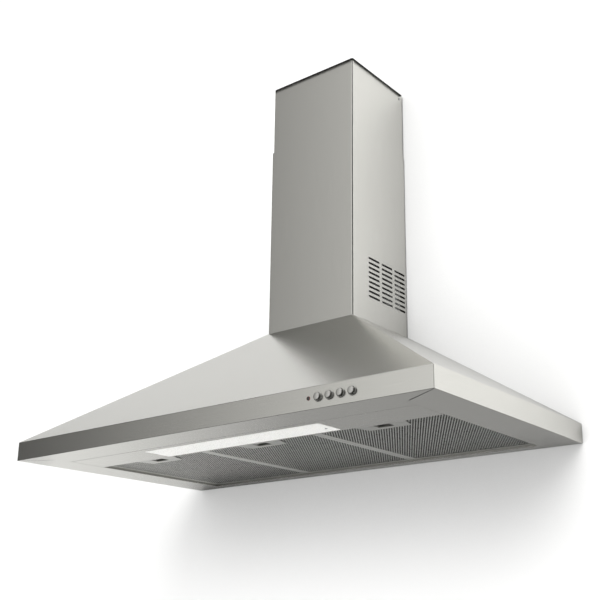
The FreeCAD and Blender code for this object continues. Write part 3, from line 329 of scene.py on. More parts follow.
def softenEdges(made, width, segments=2, angle=32):    # a small round on every hard edge
    round_ = made.modifiers.new("Softened", "BEVEL")
    round_.limit_method = "ANGLE"
    round_.angle_limit = math.radians(angle)
    round_.width = width * mm
    round_.segments = segments
    freeze(made)
    return smooth(made, 50)


def inside(point, loop):
    hit = False
    for (x0, y0), (x1, y1) in zip(loop, loop[1:] + loop[:1]):
        if (y0 > point[1]) != (y1 > point[1]):
            if point[0] < (x1 - x0) * (point[1] - y0) / (y1 - y0) + x0:
                hit = not hit
    return hit


def holedPlate(outline, holes, place, number=0):    # a flat outline with holes, as triangles
    points, edges = [], []
    for loop in [outline] + holes:
        start, count = len(points), len(loop)
        points += [Vector(p) for p in loop]
        edges += [(start + i, start + (i + 1) % count) for i in range(count)]
    corners, _, faces, _, _, _ = delaunay_2d_cdt(points, edges, [], 1, 1e-5)
    kept = []
    for face in faces:
        middle = sum((corners[i] for i in face), Vector((0, 0))) / len(face)
        if not any(inside(middle, hole) for hole in holes):
            kept.append(([place(*corners[i]) for i in face], number))
    return kept


def circle(x, y, radius, count=24):
    turns = [2 * math.pi * i / count for i in range(count)]
    return [(x + radius * math.cos(t), y + radius * math.sin(t)) for t in turns]


def roundedBox(x0, x1, y0, y1, radius, count=4):    # a rectangle's outline with round corners
    centres = [(x1 - radius, y1 - radius, 0), (x0 + radius, y1 - radius, 90),
               (x0 + radius, y0 + radius, 180), (x1 - radius, y0 + radius, 270)]
    return [(x + radius * math.cos(math.radians(start + 90 * i / count)),
             y + radius * math.sin(math.radians(start + 90 * i / count)))
            for x, y, start in centres for i in range(count + 1)]


def flat(z):
    return lambda u, v: (u, v, z)


def turnedOver(polygons):
    return [(corners[::-1], number) for corners, number in polygons]


def slab(outline, holes, z0, z1, number=0):    # a closed plate over an anticlockwise outline
    shape = holedPlate(outline, holes, flat(z1), number)
    shape += turnedOver(holedPlate(outline, holes, flat(z0), number))
    for loop, outward in [(outline, 1)] + [(hole, -1) for hole in holes]:
        for (x0, y0), (x1, y1) in zip(loop, loop[1:] + loop[:1]):
            wall = [(x0, y0, z0), (x1, y1, z0), (x1, y1, z1), (x0, y0, z1)]
            shape.append((wall[::outward], number))
    return shape


def block(x0, x1, y0, y1, z0, z1, number=0):
    return slab([(x0, y0), (x1, y0), (x1, y1), (x0, y1)], [], z0, z1, number)


def moved(polygons, x=0, y=0, z=0):
    return [([(c[0] + x, c[1] + y, c[2] + z) for c in corners], number)
            for corners, number in polygons]


def mirroredX(polygons):
    return [([(-c[0], c[1], c[2]) for c in corners[::-1]], number) for corners, number in polygons]


def bothSides(polygons):
    return polygons + mirroredX(polygons)


def turned(profile, place, count=32, number=0):    # a profile of (radius, along) points, revolved
    shape = []
    for (r0, a0), (r1, a1) in zip(profile, profile[1:]):
        for i in range(count):
            t0, t1 = (2 * math.pi * k / count for k in (i, i + 1))
            ring = [(r0, t0, a0), (r0, t1, a0), (r1, t1, a1), (r1, t0, a1)]
            shape.append(([place(r * math.cos(t), r * math.sin(t), a) for r, t, a in ring],
                          number))
    return shape


# Camera, solved from the photograph's straight edges

camera = {
    "place": (1.1008, -1.5364, -0.3157),
    "yaw": 36.432,
    "pitch": 16.416,
    "roll": 0.154,
    "lens": 58.52,
    "shift": (-0.087, 0.0862),
}
yaw, pitch, roll = (math.radians(camera[k]) for k in ("yaw", "pitch", "roll"))
forward = Vector((-math.sin(yaw) * math.cos(pitch), math.cos(yaw) * math.cos(pitch),
                  math.sin(pitch)))
right = Vector((math.cos(yaw), math.sin(yaw), 0))
upward = right.cross(forward)
turn = Matrix.Rotation(roll, 3, forward)
axes = Matrix((turn @ right, turn @ upward, -forward)).transposed()
lens = bpy.data.cameras.new("PhotoCamera")
lens.lens = camera["lens"]
lens.sensor_width = 36
lens.shift_x, lens.shift_y = camera["shift"]
photoCamera = bpy.data.objects.new("PhotoCamera", lens)
photoCamera.matrix_world = Matrix.Translation(camera["place"]) @ axes.to_4x4()
scene.collection.objects.link(photoCamera)
scene.camera = photoCamera
print("camera placed")


# Canopy: one folded and welded stainless shell

canopy = {
    "halfWidth": 450,
    "depth": 473.5,
    "rim": 34,
    "height": 251.5,
    "topHalf": 102.3,
    "topDepth": 181,
    "sheet": 0.8,
    "bendRadius": 1.0,
    "hipRound": 0.5,    # share of the bend radius left on the ground welds of the hips
    "topRound": 0.7,
    "plainBand": 5,    # the button holes lie between plain bands along both bends
    "flangeDepth": 66.5,
    "openingHalf": 379.2,
    "lipHeight": 12,
    "lipRear": -22.8,
    "lipBand": 2,
    "lipScrewsY": (-398.7, -339.3),
    "lipScrewHole": 1.75,
    "mitreEnd": (386.5, -438.0),
    "mitreStart": (449.2, -472.7),
    "mitreSlit": 2.4,
    "mitreTaper": 1.4,    # the slit's width at the corner
    "seam": 0.3,
    "topFrame": 4,
    "ductRadius": 71,
    "ductY": -90.5,
    "buttonsX": (255.6, 275.85, 296.1, 316.35),
    "buttonUp": 17.2,
    "bezelHole": 6.7,
    "indicatorX": 237.5,
    "indicatorHole": 2.6,
}


def canopyShape():
    c = canopy
    w, d, rim, top = c["halfWidth"], -c["depth"], c["rim"], c["height"]
    tw, td = c["topHalf"], -c["topDepth"]
    low, high = c["plainBand"], rim - c["plainBand"]
    rear = d + c["flangeDepth"]
    across, deep = 0, 1    # material numbers, for the two ways that the brushing runs
    holes = [circle(x, c["buttonUp"], c["bezelHole"]) for x in c["buttonsX"]]
    holes.append(circle(c["indicatorX"], c["buttonUp"], c["indicatorHole"], 16))
    shape = [([(-w, d, rim), (w, d, rim), (tw, td, top), (-tw, td, top)], across)]
    shape += holedPlate([(-w, low), (w, low), (w, high), (-w, high)], holes,
                        lambda u, v: (u, d, v), across)
    for z0, z1 in ((0, low), (high, rim)):
        shape.append(([(-w, d, z0), (w, d, z0), (w, d, z1), (-w, d, z1)], across))
    side = [([(w, d, rim), (w, 0, rim), (tw, 0, top), (tw, td, top)], deep)]
    for z0, z1 in ((0, low), (low, high), (high, rim)):
        side.append(([(w, d, z0), (w, 0, z0), (w, 0, z1), (w, d, z1)], deep))
    (sx, sy), (ex, ey) = c["mitreStart"], c["mitreEnd"]
    slit, gap, half = c["mitreSlit"], c["seam"], c["openingHalf"]
    seam = half + c["sheet"]
    flange = [(w, d, 0), (sx, sy + c["mitreTaper"], 0), (ex, ey + slit, 0),
              (seam + gap, ey + slit + gap, 0), (seam + gap, rear + gap, 0), (half, rear + gap, 0),
              (half, c["lipRear"], 0), (half, 0, 0), (w, 0, 0)]
    side.append((flange, deep))
    lipLow, lipTop, lipRear = c["lipBand"], c["lipHeight"], c["lipRear"]
    lip = [(rear + gap, lipLow), (rear + gap, lipTop), (lipRear, lipTop), (lipRear, lipLow)]
    screws = [circle(y, lipTop / 2, c["lipScrewHole"], 16) for y in c["lipScrewsY"]]
    side += holedPlate(lip, screws, lambda u, v: (half, u, v), deep)
    side.append(([(half, rear + gap, 0), (half, rear + gap, lipLow), (half, lipRear, lipLow),
                  (half, lipRear, 0)], deep))
    shape += bothSides(side)
    lipHalf = half - gap
    edge = [(sx, sy, 0), (ex, ey, 0), (ex, ey + slit - gap, 0), (seam, ey + slit, 0),
            (seam, rear, 0), (lipHalf, rear, 0)]
    other = [(-x, y, z) for x, y, z in edge]
    shape.append(([(w, d, 0), (-w, d, 0)] + other + edge[::-1], across))
    shape.append(([(lipHalf, rear, 0), (-lipHalf, rear, 0), (-lipHalf, rear, lipTop),
                   (lipHalf, rear, lipTop)], across))
    inset = c["topFrame"]
    inner = [(-tw + inset, td + inset), (tw - inset, td + inset), (tw - inset, 0), (-tw + inset, 0)]
    duct = [circle(0, c["ductY"], c["ductRadius"], 64)]
    shape += holedPlate(inner, duct, flat(top), across)
    shape.append(([(-tw, td, top), (tw, td, top), (tw - inset, td + inset, top),
                   (-tw + inset, td + inset, top)], across))
    shape += bothSides([([(tw, td, top), (tw, 0, top), (tw - inset, 0, top),
                          (tw - inset, td + inset, top)], across)])
    return shape


def canopyBend(a, b):    # the share of the bend radius that an edge gets
    c = canopy
    if abs(a.x - b.x) > c["rim"] and abs(a.z - b.z) > c["rim"]:
        return c["hipRound"]    # a hip's weld, ground nearly sharp
    return c["topRound"] if min(a.z, b.z) > c["height"] - 1 else 1


canopySheet = makePiece("canopySheet", canopyShape(), [steelAcross, steelDeep], "hood",
                        ["canopy_front", "canopy_left", "canopy_right", "canopy_top"])
foldSheet(canopySheet, canopy["sheet"], canopy["bendRadius"], canopyBend)
print("canopy built")


# Chimney covers: U-shaped sheets with vents in the lower one

chimney = {
    "sheet": 0.8,
    "return": 15,
    "bendRadius": 3.5,
    "tabRound": 0.3,    # the tabs at the foot are bent tighter, at this share of the radius
    "plainBand": 6,
    "lower": {"half": 102.3, "front": -181, "back": 0, "z0": 251.5, "z1": 640},
    "upper": {"half": 101.1, "front": -178.8, "back": -1.2, "z0": 387.5, "z1": 787.5},
    "slotLength": 36.2,
    "slotHeight": 4.3,
    "slotRows": 9,
    "slotColumns": 3,
    "rowPitch": 9.56,
    "columnPitch": 43.5,
    "firstRow": 301.8,
    "firstColumn": -25.3,
    "tabsY": (-140.5, -40.5),
    "tabHalf": 12,
    "tabLong": 13,
    "screwHole": (-12.9, 774.2, 2.3),
}


def slotOutline(y, z):
    half = chimney["slotHeight"] / 2
    long = chimney["slotLength"] / 2
    return roundedBox(y - long, y + long, z - half, z + half, half - 0.01, 3)


def chimneyShape(part, holes, tabs):
    p = chimney[part]
    half, front, back, z0, z1 = p["half"], p["front"], p["back"], p["z0"], p["z1"]
    openHalf = half - chimney["sheet"] - chimney["return"]
    band = chimney["plainBand"]
    yFront, yBack, zLow = front + band, back - band, z0 + band
    shape = [([(-half, front, z), (half, front, z), (half, front, w), (-half, front, w)], 0)
             for z, w in ((z0, zLow), (zLow, z1))]
    stops = [yFront, yBack]
    if tabs:
        for y in chimney["tabsY"]:
            stops += [y - chimney["tabHalf"], y + chimney["tabHalf"]]
    stops.sort()
    outline = [(y, zLow) for y in stops] + [(yBack, z1), (yFront, z1)]
    side = holedPlate(outline, holes, lambda u, v: (half, u, v))
    for y0, y1 in zip(stops, stops[1:]):
        side.append(([(half, y0, z0), (half, y1, z0), (half, y1, zLow), (half, y0, zLow)], 0))
    for y0, y1 in ((front, yFront), (yBack, back)):
        for z, w in ((z0, zLow), (zLow, z1)):
            side.append(([(half, y0, z), (half, y1, z), (half, y1, w), (half, y0, w)], 0))
    for z, w in ((z0, zLow), (zLow, z1)):
        side.append(([(half, back, z), (openHalf, back, z), (openHalf, back, w),
                      (half, back, w)], 0))
    if tabs:
        inner = half - chimney["sheet"] - chimney["tabLong"]
        for y in chimney["tabsY"]:
            y0, y1 = y - chimney["tabHalf"], y + chimney["tabHalf"]
            side.append(([(half, y1, z0), (half, y0, z0), (inner, y0, z0), (inner, y1, z0)], 0))
    return shape + bothSides(side)


def chimneyBend(a, b):
    return 1 if abs(a.z - b.z) > 1 else chimney["tabRound"]


ventSlots = [slotOutline(chimney["firstColumn"] - column * chimney["columnPitch"],
                         chimney["firstRow"] + row * chimney["rowPitch"])
             for row in range(chimney["slotRows"]) for column in range(chimney["slotColumns"])]
for part, body, holes, tabs in (
    ("lower", "hood", ventSlots, True),
    ("upper", "upper_chimney", [circle(*chimney["screwHole"], 16)], False),
):
    cover = makePiece(part + "ChimneyCover", chimneyShape(part, holes, tabs), [steelUp], body,
                      [part + "_chimney"])
    foldSheet(cover, chimney["sheet"], chimney["bendRadius"], chimneyBend, 6)
print("chimney built")


# Underside: light panel, light cover and rear rail

underside = {
    "panelHalf": 378.9,
    "panelFront": -406.7,
    "panelRear": -331.3,
    "lightHalf": 189.75,
    "lightFront": -391.0,
    "lightRear": -342.0,
    "sheet": 0.8,
    "bendRadius": 0.9,
    "frontLip": 12,
    "rearLip": 13,
    "coverHalf": 193.75,
    "coverFront": -395.0,
    "coverRear": -338.0,
    "coverProud": 0.4,
    "coverBoss": 2.5,
    "coverFit": 0.5,
    "coverCorner": 2.5,
    "screw": (180, -358, 2.95),
    "railFront": -22.8,
    "railBack": -1,
    "railHeight": 14,
    "railBand": 3,
    "filtersX": (-252.6, 0, 252.6),
    "tabSpacing": 150,
    "tabSlotHalf": 7.6,
    "tabSlotLow": 3.8,
    "tabSlotHigh": 10.0,
}


def lightPanelShape():
    u = underside
    h, y0, y1 = u["panelHalf"], u["panelFront"], u["panelRear"]
    lh, l0, l1 = u["lightHalf"], u["lightFront"], u["lightRear"]
    outer = [(-h, y0), (h, y0), (h, y1), (-h, y1)]
    inner = [(-lh, l0), (lh, l0), (lh, l1), (-lh, l1)]
    shape = []
    for i in range(4):
        a, b = outer[i], outer[(i + 1) % 4]
        c, d = inner[(i + 1) % 4], inner[i]
        shape.append(([(*d, 0), (*c, 0), (*b, 0), (*a, 0)], 0))
    heights = [u["frontLip"], u["frontLip"], u["rearLip"], u["frontLip"]]
    for i in range(4):
        a, b = outer[i], outer[(i + 1) % 4]
        z = heights[i]
        shape.append(([(*a, 0), (*b, 0), (*b, z), (*a, z)], 0))
    return shape


def railShape():
    u = underside
    h, y0, y1, top = u["panelHalf"], u["railFront"], u["railBack"], u["railHeight"]
    low = u["railBand"]
    holes = []
    for middle in u["filtersX"]:
        for x in (middle - u["tabSpacing"] / 2, middle + u["tabSpacing"] / 2):
            a, b = x - u["tabSlotHalf"], x + u["tabSlotHalf"]
            holes.append([(a, u["tabSlotLow"]), (b, u["tabSlotLow"]), (b, u["tabSlotHigh"]),
                          (a, u["tabSlotHigh"])])
    shape = holedPlate([(-h, low), (h, low), (h, top), (-h, top)], holes,
                       lambda v, w: (v, y0, w))
    shape.append(([(-h, y0, 0), (h, y0, 0), (h, y0, low), (-h, y0, low)], 0))
    shape.append(([(h, y0, 0), (-h, y0, 0), (-h, y1, 0), (h, y1, 0)], 0))
    shape.append(([(h, y1, 0), (-h, y1, 0), (-h, y1, top), (h, y1, top)], 0))
    return shape


def coverShape():
    u = underside
    hole = [circle(*u["screw"], 24)]
    face = roundedBox(-u["coverHalf"], u["coverHalf"], u["coverFront"], u["coverRear"],
                      u["coverCorner"])
    fit = u["coverFit"]
    boss = roundedBox(-u["lightHalf"] + fit, u["lightHalf"] - fit, u["lightFront"] + fit,
                      u["lightRear"] - fit, u["coverCorner"])
    return slab(face, hole, -u["coverProud"], 0) + slab(boss, hole, 0, u["coverBoss"])


lightPanel = makePiece("lightPanelSheet", lightPanelShape(), [steelAcross], "hood",
                       ["light_panel"])
foldSheet(lightPanel, underside["sheet"], underside["bendRadius"])
rearRail = makePiece("rearRailSheet", railShape(), [steelAcross], "hood",
                     ["rear_rail"])
foldSheet(rearRail, underside["sheet"], underside["bendRadius"])
lightCover = makePiece("lightCoverPlate", coverShape(), [opalAcrylic], "hood",
                       ["light_cover"])
softenEdges(lightCover, 0.15, 1)
print("underside built")


# Filters: channel frame with rear tabs, two sheets of expanded mesh, and the handle

cassette = {
    "half": 126,
    "front": -330.8,
    "rear": -23.4,
    "low": 4,
    "high": 13,
    "rim": 8.5,
    "wall": 0.8,
    "bend": 1.3,
    "fit": 0.3,
    "noseHalf": 8.4,
    "noseLow": 6.6,
    "noseHigh": 9.4,
    "tabHalf": 7,
    "tabLong": 8.4,
    "tabThick": 1.2,
    "tabSpacing": 75,
    "meshWide": 5.0,
    "meshLong": 7.55,
    "strandBroad": 1.8,    # strands are twisted, so every second one turns its edge outward
    "strandThin": 0.6,
    "strandThick": 0.3,
    "fieldDeep": 0.45,
    "borderWide": 26,
    "innerCoarse": 2,    # the inner sheet is drawn twice as coarse, because it shows less
    "cutHalf": 31.3,
    "cutRear": 36.1,
    "handleFront": 49.5,
    "handleRear": 36.5,
    "handleDeep": 46.5,
    "handleCorner": 2.5,
    "wellHalf": 15,
    "wellFront": 16.8,
    "wellRear": 34.8,
    "wellWall": 1,
}


def frameShape():
    c = cassette
    bend = [(c["bend"] * (1 - math.sin(t)), c["bend"] * (1 - math.cos(t)))
            for t in (math.radians(a) for a in (0, 22.5, 45, 67.5, 90))]
    z0, z1 = c["low"], c["high"]
    profile = [(c["rim"], z0 + 0.6), (c["rim"] - 0.25, z0 + 0.15), (c["rim"] - 0.9, z0)]
    profile += [(d, z0 + z) for d, z in bend]
    profile += [(0, c["noseLow"]), (0, c["noseHigh"])]
    profile += [(d, z1 - z) for d, z in bend[::-1]]
    profile += [(c["rim"], z1)]
    noseEdge = profile.index((0, c["noseLow"]))
    half, front, rear, nose = c["half"], c["front"], c["rear"], c["noseHalf"]
    # each stop of the loop: a point on the outline and the way inward from it
    stops = [((-half, front), (1, 1)), ((-nose, front), (0, 1)), ((nose, front), (0, 1)),
             ((half, front), (-1, 1)), ((half, rear), (-1, -1)), ((-half, rear), (1, -1))]
    shape = []
    for i, (start, inStart) in enumerate(stops):
        end, inEnd = stops[(i + 1) % len(stops)]
        for k, (p, q) in enumerate(zip(profile, profile[1:])):
            if i == 1 and k == noseEdge:
                continue    # the slot in the front wall for the latch's nose
            corners = [(start[0] + inStart[0] * d, start[1] + inStart[1] * d, z) for d, z in (p, q)]
            corners += [(end[0] + inEnd[0] * d, end[1] + inEnd[1] * d, z) for d, z in (q, p)]
            shape.append((corners[::-1], 0))
    return shape


def tabShape():
    c = cassette
    shape = []
    for x in (-c["tabSpacing"], c["tabSpacing"]):
        shape += slab(roundedBox(x - c["tabHalf"], x + c["tabHalf"], c["rear"] - c["wall"],
                                 c["rear"] + c["tabLong"], 0.8, 2), [], c["low"],
                      c["low"] + c["tabThick"])
    return shape


def meshDepth(x, y):    # the field lies deeper than the border pressed round it
    c = cassette
    fromRim = min(c["half"] - abs(x), y - c["front"], c["rear"] - y) - c["rim"]
    share = min(max(fromRim / c["borderWide"], 0), 1)
    return c["fieldDeep"] * share * share * (3 - 2 * share)


def expandedSheet(z, out, size):    # a lattice of strands, sharp on the inside, with open diamonds
    c = cassette
    wide, long = c["meshWide"] * size / 2, c["meshLong"] * size / 2
    slant = math.hypot(wide, long)
    sine = 2 * wide * long / slant ** 2
    broad = slant / 2 - c["strandBroad"] * size / 2 / sine
    thin = slant / 2 - c["strandThin"] * size / 2 / sine
    half = c["half"] - c["wall"] - c["fit"]
    front, rear = c["front"] + c["wall"] + c["fit"], c["rear"] - c["wall"] - c["fit"]
    middle = (front + rear) / 2
    columns, rows = int(half / wide), int((rear - front) / 2 / long)
    cells = set()
    for column in range(-columns, columns + 1):
        for row in range(-rows, rows + 1):
            x, y = column * wide, middle + row * long
            clear = abs(x) > c["cutHalf"] + wide or y > c["front"] + c["cutRear"] + long
            within = abs(x) < half - wide and abs(y - middle) < rear - middle - long
            if (column + row) % 2 == 0 and within and clear:
                cells.add((column, row))

    # u runs along the broad strands and v along the thin ones
    def spot(column, row, u, v, inner):
        x = column * wide + (v - u) * wide / slant
        y = middle + row * long + (u + v) * long / slant
        return (x, y, z - out * (meshDepth(x, y) + inner * c["strandThick"]))

    shape = []
    full = slant / 2
    corners = [(-1, -1), (1, -1), (1, 1), (-1, 1)]    # signs of (u, v) round a cell
    beside = [(1, -1), (1, 1), (-1, 1), (-1, -1)]    # the neighbour across each side of a cell
    for cell in cells:
        for i, ((u0, v0), (u1, v1)) in enumerate(zip(corners, corners[1:] + corners[:1])):
            edge = [(u0 * full, v0 * full), (u1 * full, v1 * full)]
            hole = [(u0 * thin, v0 * broad), (u1 * thin, v1 * broad)]
            under = [spot(*cell, *p, 0) for p in edge + hole[::-1]]
            inward = [spot(*cell, *p, 0) for p in hole] + [spot(*cell, *p, 1) for p in edge[::-1]]
            faces = [under[::out], inward[::out]]
            if (cell[0] + beside[i][0], cell[1] + beside[i][1]) not in cells:
                rim = [spot(*cell, *p, 0) for p in edge[::-1]] + [spot(*cell, *p, 1) for p in edge]
                faces.append(rim[::out])
            shape += [(face, 0) for face in faces]
    return shape


def handleShape():
    c = cassette
    front, rear = c["front"] + c["rim"] + c["fit"], c["front"] + c["handleDeep"]
    a, b, r = c["handleFront"], c["handleRear"], c["handleCorner"]
    outline = [(-a, front), (a, front), (a - 1.2, front + 3)]
    outline += [(b + r, rear - r * 0.9), (b + r * 0.55, rear - r * 0.25), (b, rear)]
    outline += [(-b, rear), (-b - r * 0.7, rear - r * 0.2), (-b - r * 1.3, rear - r * 0.9)]
    outline += [(-a + 3.5, front + 12), (-a + 1, front + 5)]
    w, y0, y1 = c["wellHalf"], c["front"] + c["wellFront"], c["front"] + c["wellRear"]
    well = roundedBox(-w, w, y0, y1, 1.5, 2)
    shape = slab(outline, [well], c["low"], c["low"] + c["wall"])
    t, top = c["wellWall"], c["high"] - c["wall"]
    low = c["low"] + c["wall"]
    shape += bothSides(block(w, w + t, y0 - t, y1 + t, low, top))
    shape += block(-w, w, y1, y1 + t, low, top)
    shape += block(-w, w, y0 - t, y0, c["noseHigh"], top)
    shape += bothSides(block(c["noseHalf"], w, y0 - t, y0, low, c["noseHigh"]))
    shape += block(-w - t, w + t, y0 - t, y1 + t, top - t, top)
    return shape


for side, x in zip(("left", "centre", "right"), underside["filtersX"]):
    body = "filter_" + side
    channel = makePiece("filterFrame_" + side, moved(frameShape(), x), [pressedAluminium], body,
                        ["filter_frame_" + side])
    foldSheet(channel, cassette["wall"], 0.01, lambda a, b: 0)
    tabs = makePiece("filterTabs_" + side, moved(tabShape(), x), [pressedAluminium], body)
    softenEdges(tabs, 0.2, 1)
    lowZ, highZ = cassette["low"] + cassette["wall"], cassette["high"] - cassette["wall"]
    sheets = expandedSheet(lowZ, -1, 1) + expandedSheet(highZ, 1, cassette["innerCoarse"])
    mesh = makePiece("filterSheets_" + side, moved(sheets, x), [meshAluminium], body,
                     ["filter_mesh_" + side])
    mesh.data.shade_flat()
    grip = makePiece("filterHandle_" + side, moved(handleShape(), x), [handleAluminium], body,
                     ["filter_handle_" + side])
    softenEdges(grip, 0.3, 2)
print("filters built")


# Latches with ribbed grips, and the springs behind their wings

latch = {
    "noseHalf": 8,
    "tip": -331.0,
    "noseChamfer": 1.2,
    "low": 7,
    "high": 9,
    "wingHalf": 29,
    "wingFront": -326.0,
    "wingRear": -323.5,
    "gripHalf": 14.6,
    "gripLow": 4.8,
    "gripFront": -313.0,
    "gripRear": -310.0,
    "ribs": 7,
    "ribPitch": 3.8,
    "ribHalf": 0.8,
    "ribDeep": 0.8,
    "springX": 25,
    "springEnd": -309.5,
    "coilRadius": 1.9,
    "wireRadius": 0.3,
    "turns": 9,
}


def latchShape():
    c = latch
    n, tip, cut, wing = c["noseHalf"], c["tip"], c["noseChamfer"], c["wingHalf"]
    slider = [(-n + cut, tip), (n - cut, tip), (n, tip + cut), (n, c["wingFront"]),
              (wing, c["wingFront"]), (wing, c["wingRear"]), (n, c["wingRear"]),
              (n, c["gripFront"]), (-n, c["gripFront"]), (-n, c["wingRear"]),
              (-wing, c["wingRear"]), (-wing, c["wingFront"]), (-n, c["wingFront"]),
              (-n, tip + cut)]
    g, rear = c["gripHalf"], c["gripRear"]
    grip = [(-g, c["gripFront"]), (g, c["gripFront"]), (g, rear)]
    for i in range(c["ribs"]):    # round ribs for the fingertip, from right to left
        x = ((c["ribs"] - 1) / 2 - i) * c["ribPitch"]
        for angle in range(0, 181, 36):
            turn = math.radians(angle)
            grip.append((x + c["ribHalf"] * math.cos(turn), rear + c["ribDeep"] * math.sin(turn)))
    grip.append((-g, rear))
    return slab(slider, [], c["low"], c["high"]) + slab(grip, [], c["gripLow"], c["high"])


def springShape(x):    # a wound wire with its end turns closed up
    c = latch
    steps, sides = 14, 6
    middle = (c["low"] + c["high"]) / 2
    start, end = c["wingRear"] + c["wireRadius"], c["springEnd"] - c["wireRadius"]
    rings = []
    for i in range(c["turns"] * steps + 1):
        turns = i / steps
        share = min(max((turns - 1) / (c["turns"] - 2), 0), 1)
        spread = c["wireRadius"] * 2 * (min(turns, 1) + max(turns - c["turns"] + 1, 0))
        y = start + spread + (end - start - 4 * c["wireRadius"]) * share
        turn = 2 * math.pi * turns
        rings.append([(x + (c["coilRadius"] + c["wireRadius"] * math.cos(s)) * math.cos(turn),
                       y + c["wireRadius"] * math.sin(s),
                       middle + (c["coilRadius"] + c["wireRadius"] * math.cos(s)) * math.sin(turn))
                      for s in (2 * math.pi * k / sides for k in range(sides))])
    faces = [([near[k], near[(k + 1) % sides], far[(k + 1) % sides], far[k]], 0)
             for near, far in zip(rings, rings[1:]) for k in range(sides)]
    return faces + [(rings[0][::-1], 0), (rings[-1], 0)]


for side, x in zip(("left", "centre", "right"), underside["filtersX"]):
    slider = makePiece("latchSlider_" + side, moved(latchShape(), x), [latchPlastic],
                       "latch_" + side, ["filter_latch_" + side])
    softenEdges(slider, 0.2, 2)
    coils = springShape(x - latch["springX"]) + springShape(x + latch["springX"])
    wound = makePiece("latchSprings_" + side, coils, [drawnSteel], "filter_" + side,
                      ["filter_springs_" + side])
    smooth(wound, 60)
print("latches built")


# Pan head screws with cross recesses

screwSizes = {
    "dome": 0.35,    # share of the head's height that its dome takes
    "flatShare": 0.62,
    "recessShare": 0.52,
    "recessHalf": 0.14,
    "recessDeep": 0.55,
    "threadPitch": 1.0,
    "threadDeep": 0.18,
}


def screwShape(place, head, height, shank, length):    # place takes (across, across, along)
    s = screwSizes
    arm, w = head * s["recessShare"], head * s["recessHalf"]
    cross = [(w, w), (w, arm), (-w, arm), (-w, w), (-arm, w), (-arm, -w), (-w, -w), (-w, -arm),
             (w, -arm), (w, -w), (arm, -w), (arm, w)]
    top, floor_ = -height, -height * (1 - s["recessDeep"])
    face = circle(0, 0, head * s["flatShare"], 24)
    shape = turnedOver(holedPlate(face, [cross], lambda u, v: place(u, v, top)))
    shape += turnedOver(holedPlate(cross, [], lambda u, v: place(u, v, floor_)))
    for (u0, v0), (u1, v1) in zip(cross, cross[1:] + cross[:1]):
        shape.append(([place(u0, v0, floor_), place(u0, v0, top), place(u1, v1, top),
                       place(u1, v1, floor_)], 0))
    profile = [(head * s["flatShare"], top), (head * 0.88, top + height * s["dome"] * 0.4),
               (head, top + height * s["dome"]), (head, -0.1), (head - 0.1, 0), (shank, 0)]
    along = 0.4
    while along < length - 1.2:    # thread ridges
        profile += [(shank, along), (shank - s["threadDeep"], along + s["threadPitch"] / 2)]
        along += s["threadPitch"]
    profile += [(shank * 0.8, length - 0.6), (shank * 0.5, length), (0, length)]
    return shape + turned(profile, place, 24)


def headOut(x, y, z, way):    # places a screw by its seat and the way that its shank points
    return {
        "up": lambda u, v, a: (x + u, y + v, z + a),
        "down": lambda u, v, a: (x + v, y + u, z - a),
        "right": lambda u, v, a: (x + a, y + u, z + v),
        "left": lambda u, v, a: (x - a, y + v, z + u),
    }[way]


screwSets = {
    "coverScrew": {"node": "cover_screw", "head": 2.8, "high": 1.65, "shank": 1.5, "long": 14},
    "panelScrews": {"node": "panel_screws", "head": 3.0, "high": 2.2, "shank": 1.6, "long": 6},
    "lowerChimneyScrews": {"node": "lower_chimney_screws", "head": 3.0, "high": 2.2,
                           "shank": 1.6, "long": 6},
    "blowerScrews": {"node": "blower_screws", "head": 3.6, "high": 2.2, "shank": 2.0, "long": 9},
    "chimneyScrews": {"node": "chimney_screws", "head": 2.6, "high": 1.1, "shank": 2.0,
                      "long": 5.5},
}
seats = {
    "coverUp": 1.25,
    "panelX": 378.1,
    "footX": 95.0,
    "footUp": 252.3,
    "blowerX": 66,
    "blowerY": 50,
    "blowerUp": 253.0,
}
coverX, coverY, _ = underside["screw"]
topY, topUp, _ = chimney["screwHole"]
topX = chimney["upper"]["half"]
screwPlaces = {
    "coverScrew": [(coverX, coverY, seats["coverUp"], "up")],
    "panelScrews": [(sign * seats["panelX"], y, canopy["lipHeight"] / 2, way)
                    for sign, way in ((1, "right"), (-1, "left")) for y in canopy["lipScrewsY"]],
    "lowerChimneyScrews": [(sign * seats["footX"], y, seats["footUp"], "down")
                           for sign in (1, -1) for y in chimney["tabsY"]],
    "blowerScrews": [(x * seats["blowerX"], canopy["ductY"] + y * seats["blowerY"],
                      seats["blowerUp"], "down") for x in (-1, 1) for y in (-1, 1)],
    "chimneyScrews": [(topX, topY, topUp, "left"), (-topX, topY, topUp, "right")],
}
for name, sort in screwSets.items():
    body = "upper_chimney" if name == "chimneyScrews" else "hood"
    faces = [face for spot in screwPlaces[name]
             for face in screwShape(headOut(*spot), sort["head"], sort["high"], sort["shank"],
                                    sort["long"])]
    smooth(makePiece(name, faces, [zincScrew], body, [sort["node"]]), 35)
print("screws built")


# Push buttons, their bezels and the indicator

controls = {
    "front": -473.5,
    "buttonRadius": 5.5,
    "faceRadius": 4.9,
    "proud": 5.6,
    "dome": 0.35,
    "flangeAt": 6.5,
    "flangeRadius": 6.4,
    "flangeThick": 1.5,
    "stemRadius": 2.3,
    "stemLong": 7.7,
    "bezelRadius": 7.4,
    "bezelProud": 1.6,
    "bore": 5.8,
    "sleeve": 6.7,
    "bezelLong": 6.2,
    "lensRadius": 3.2,
    "lensProud": 0.8,
    "lensBody": 2.6,
    "lensLong": 10,
}


def lookingFront(x):    # turned shapes are drawn along +Y from the rim's face
    return lambda u, v, a: (x - u, controls["front"] + a, canopy["buttonUp"] + v)


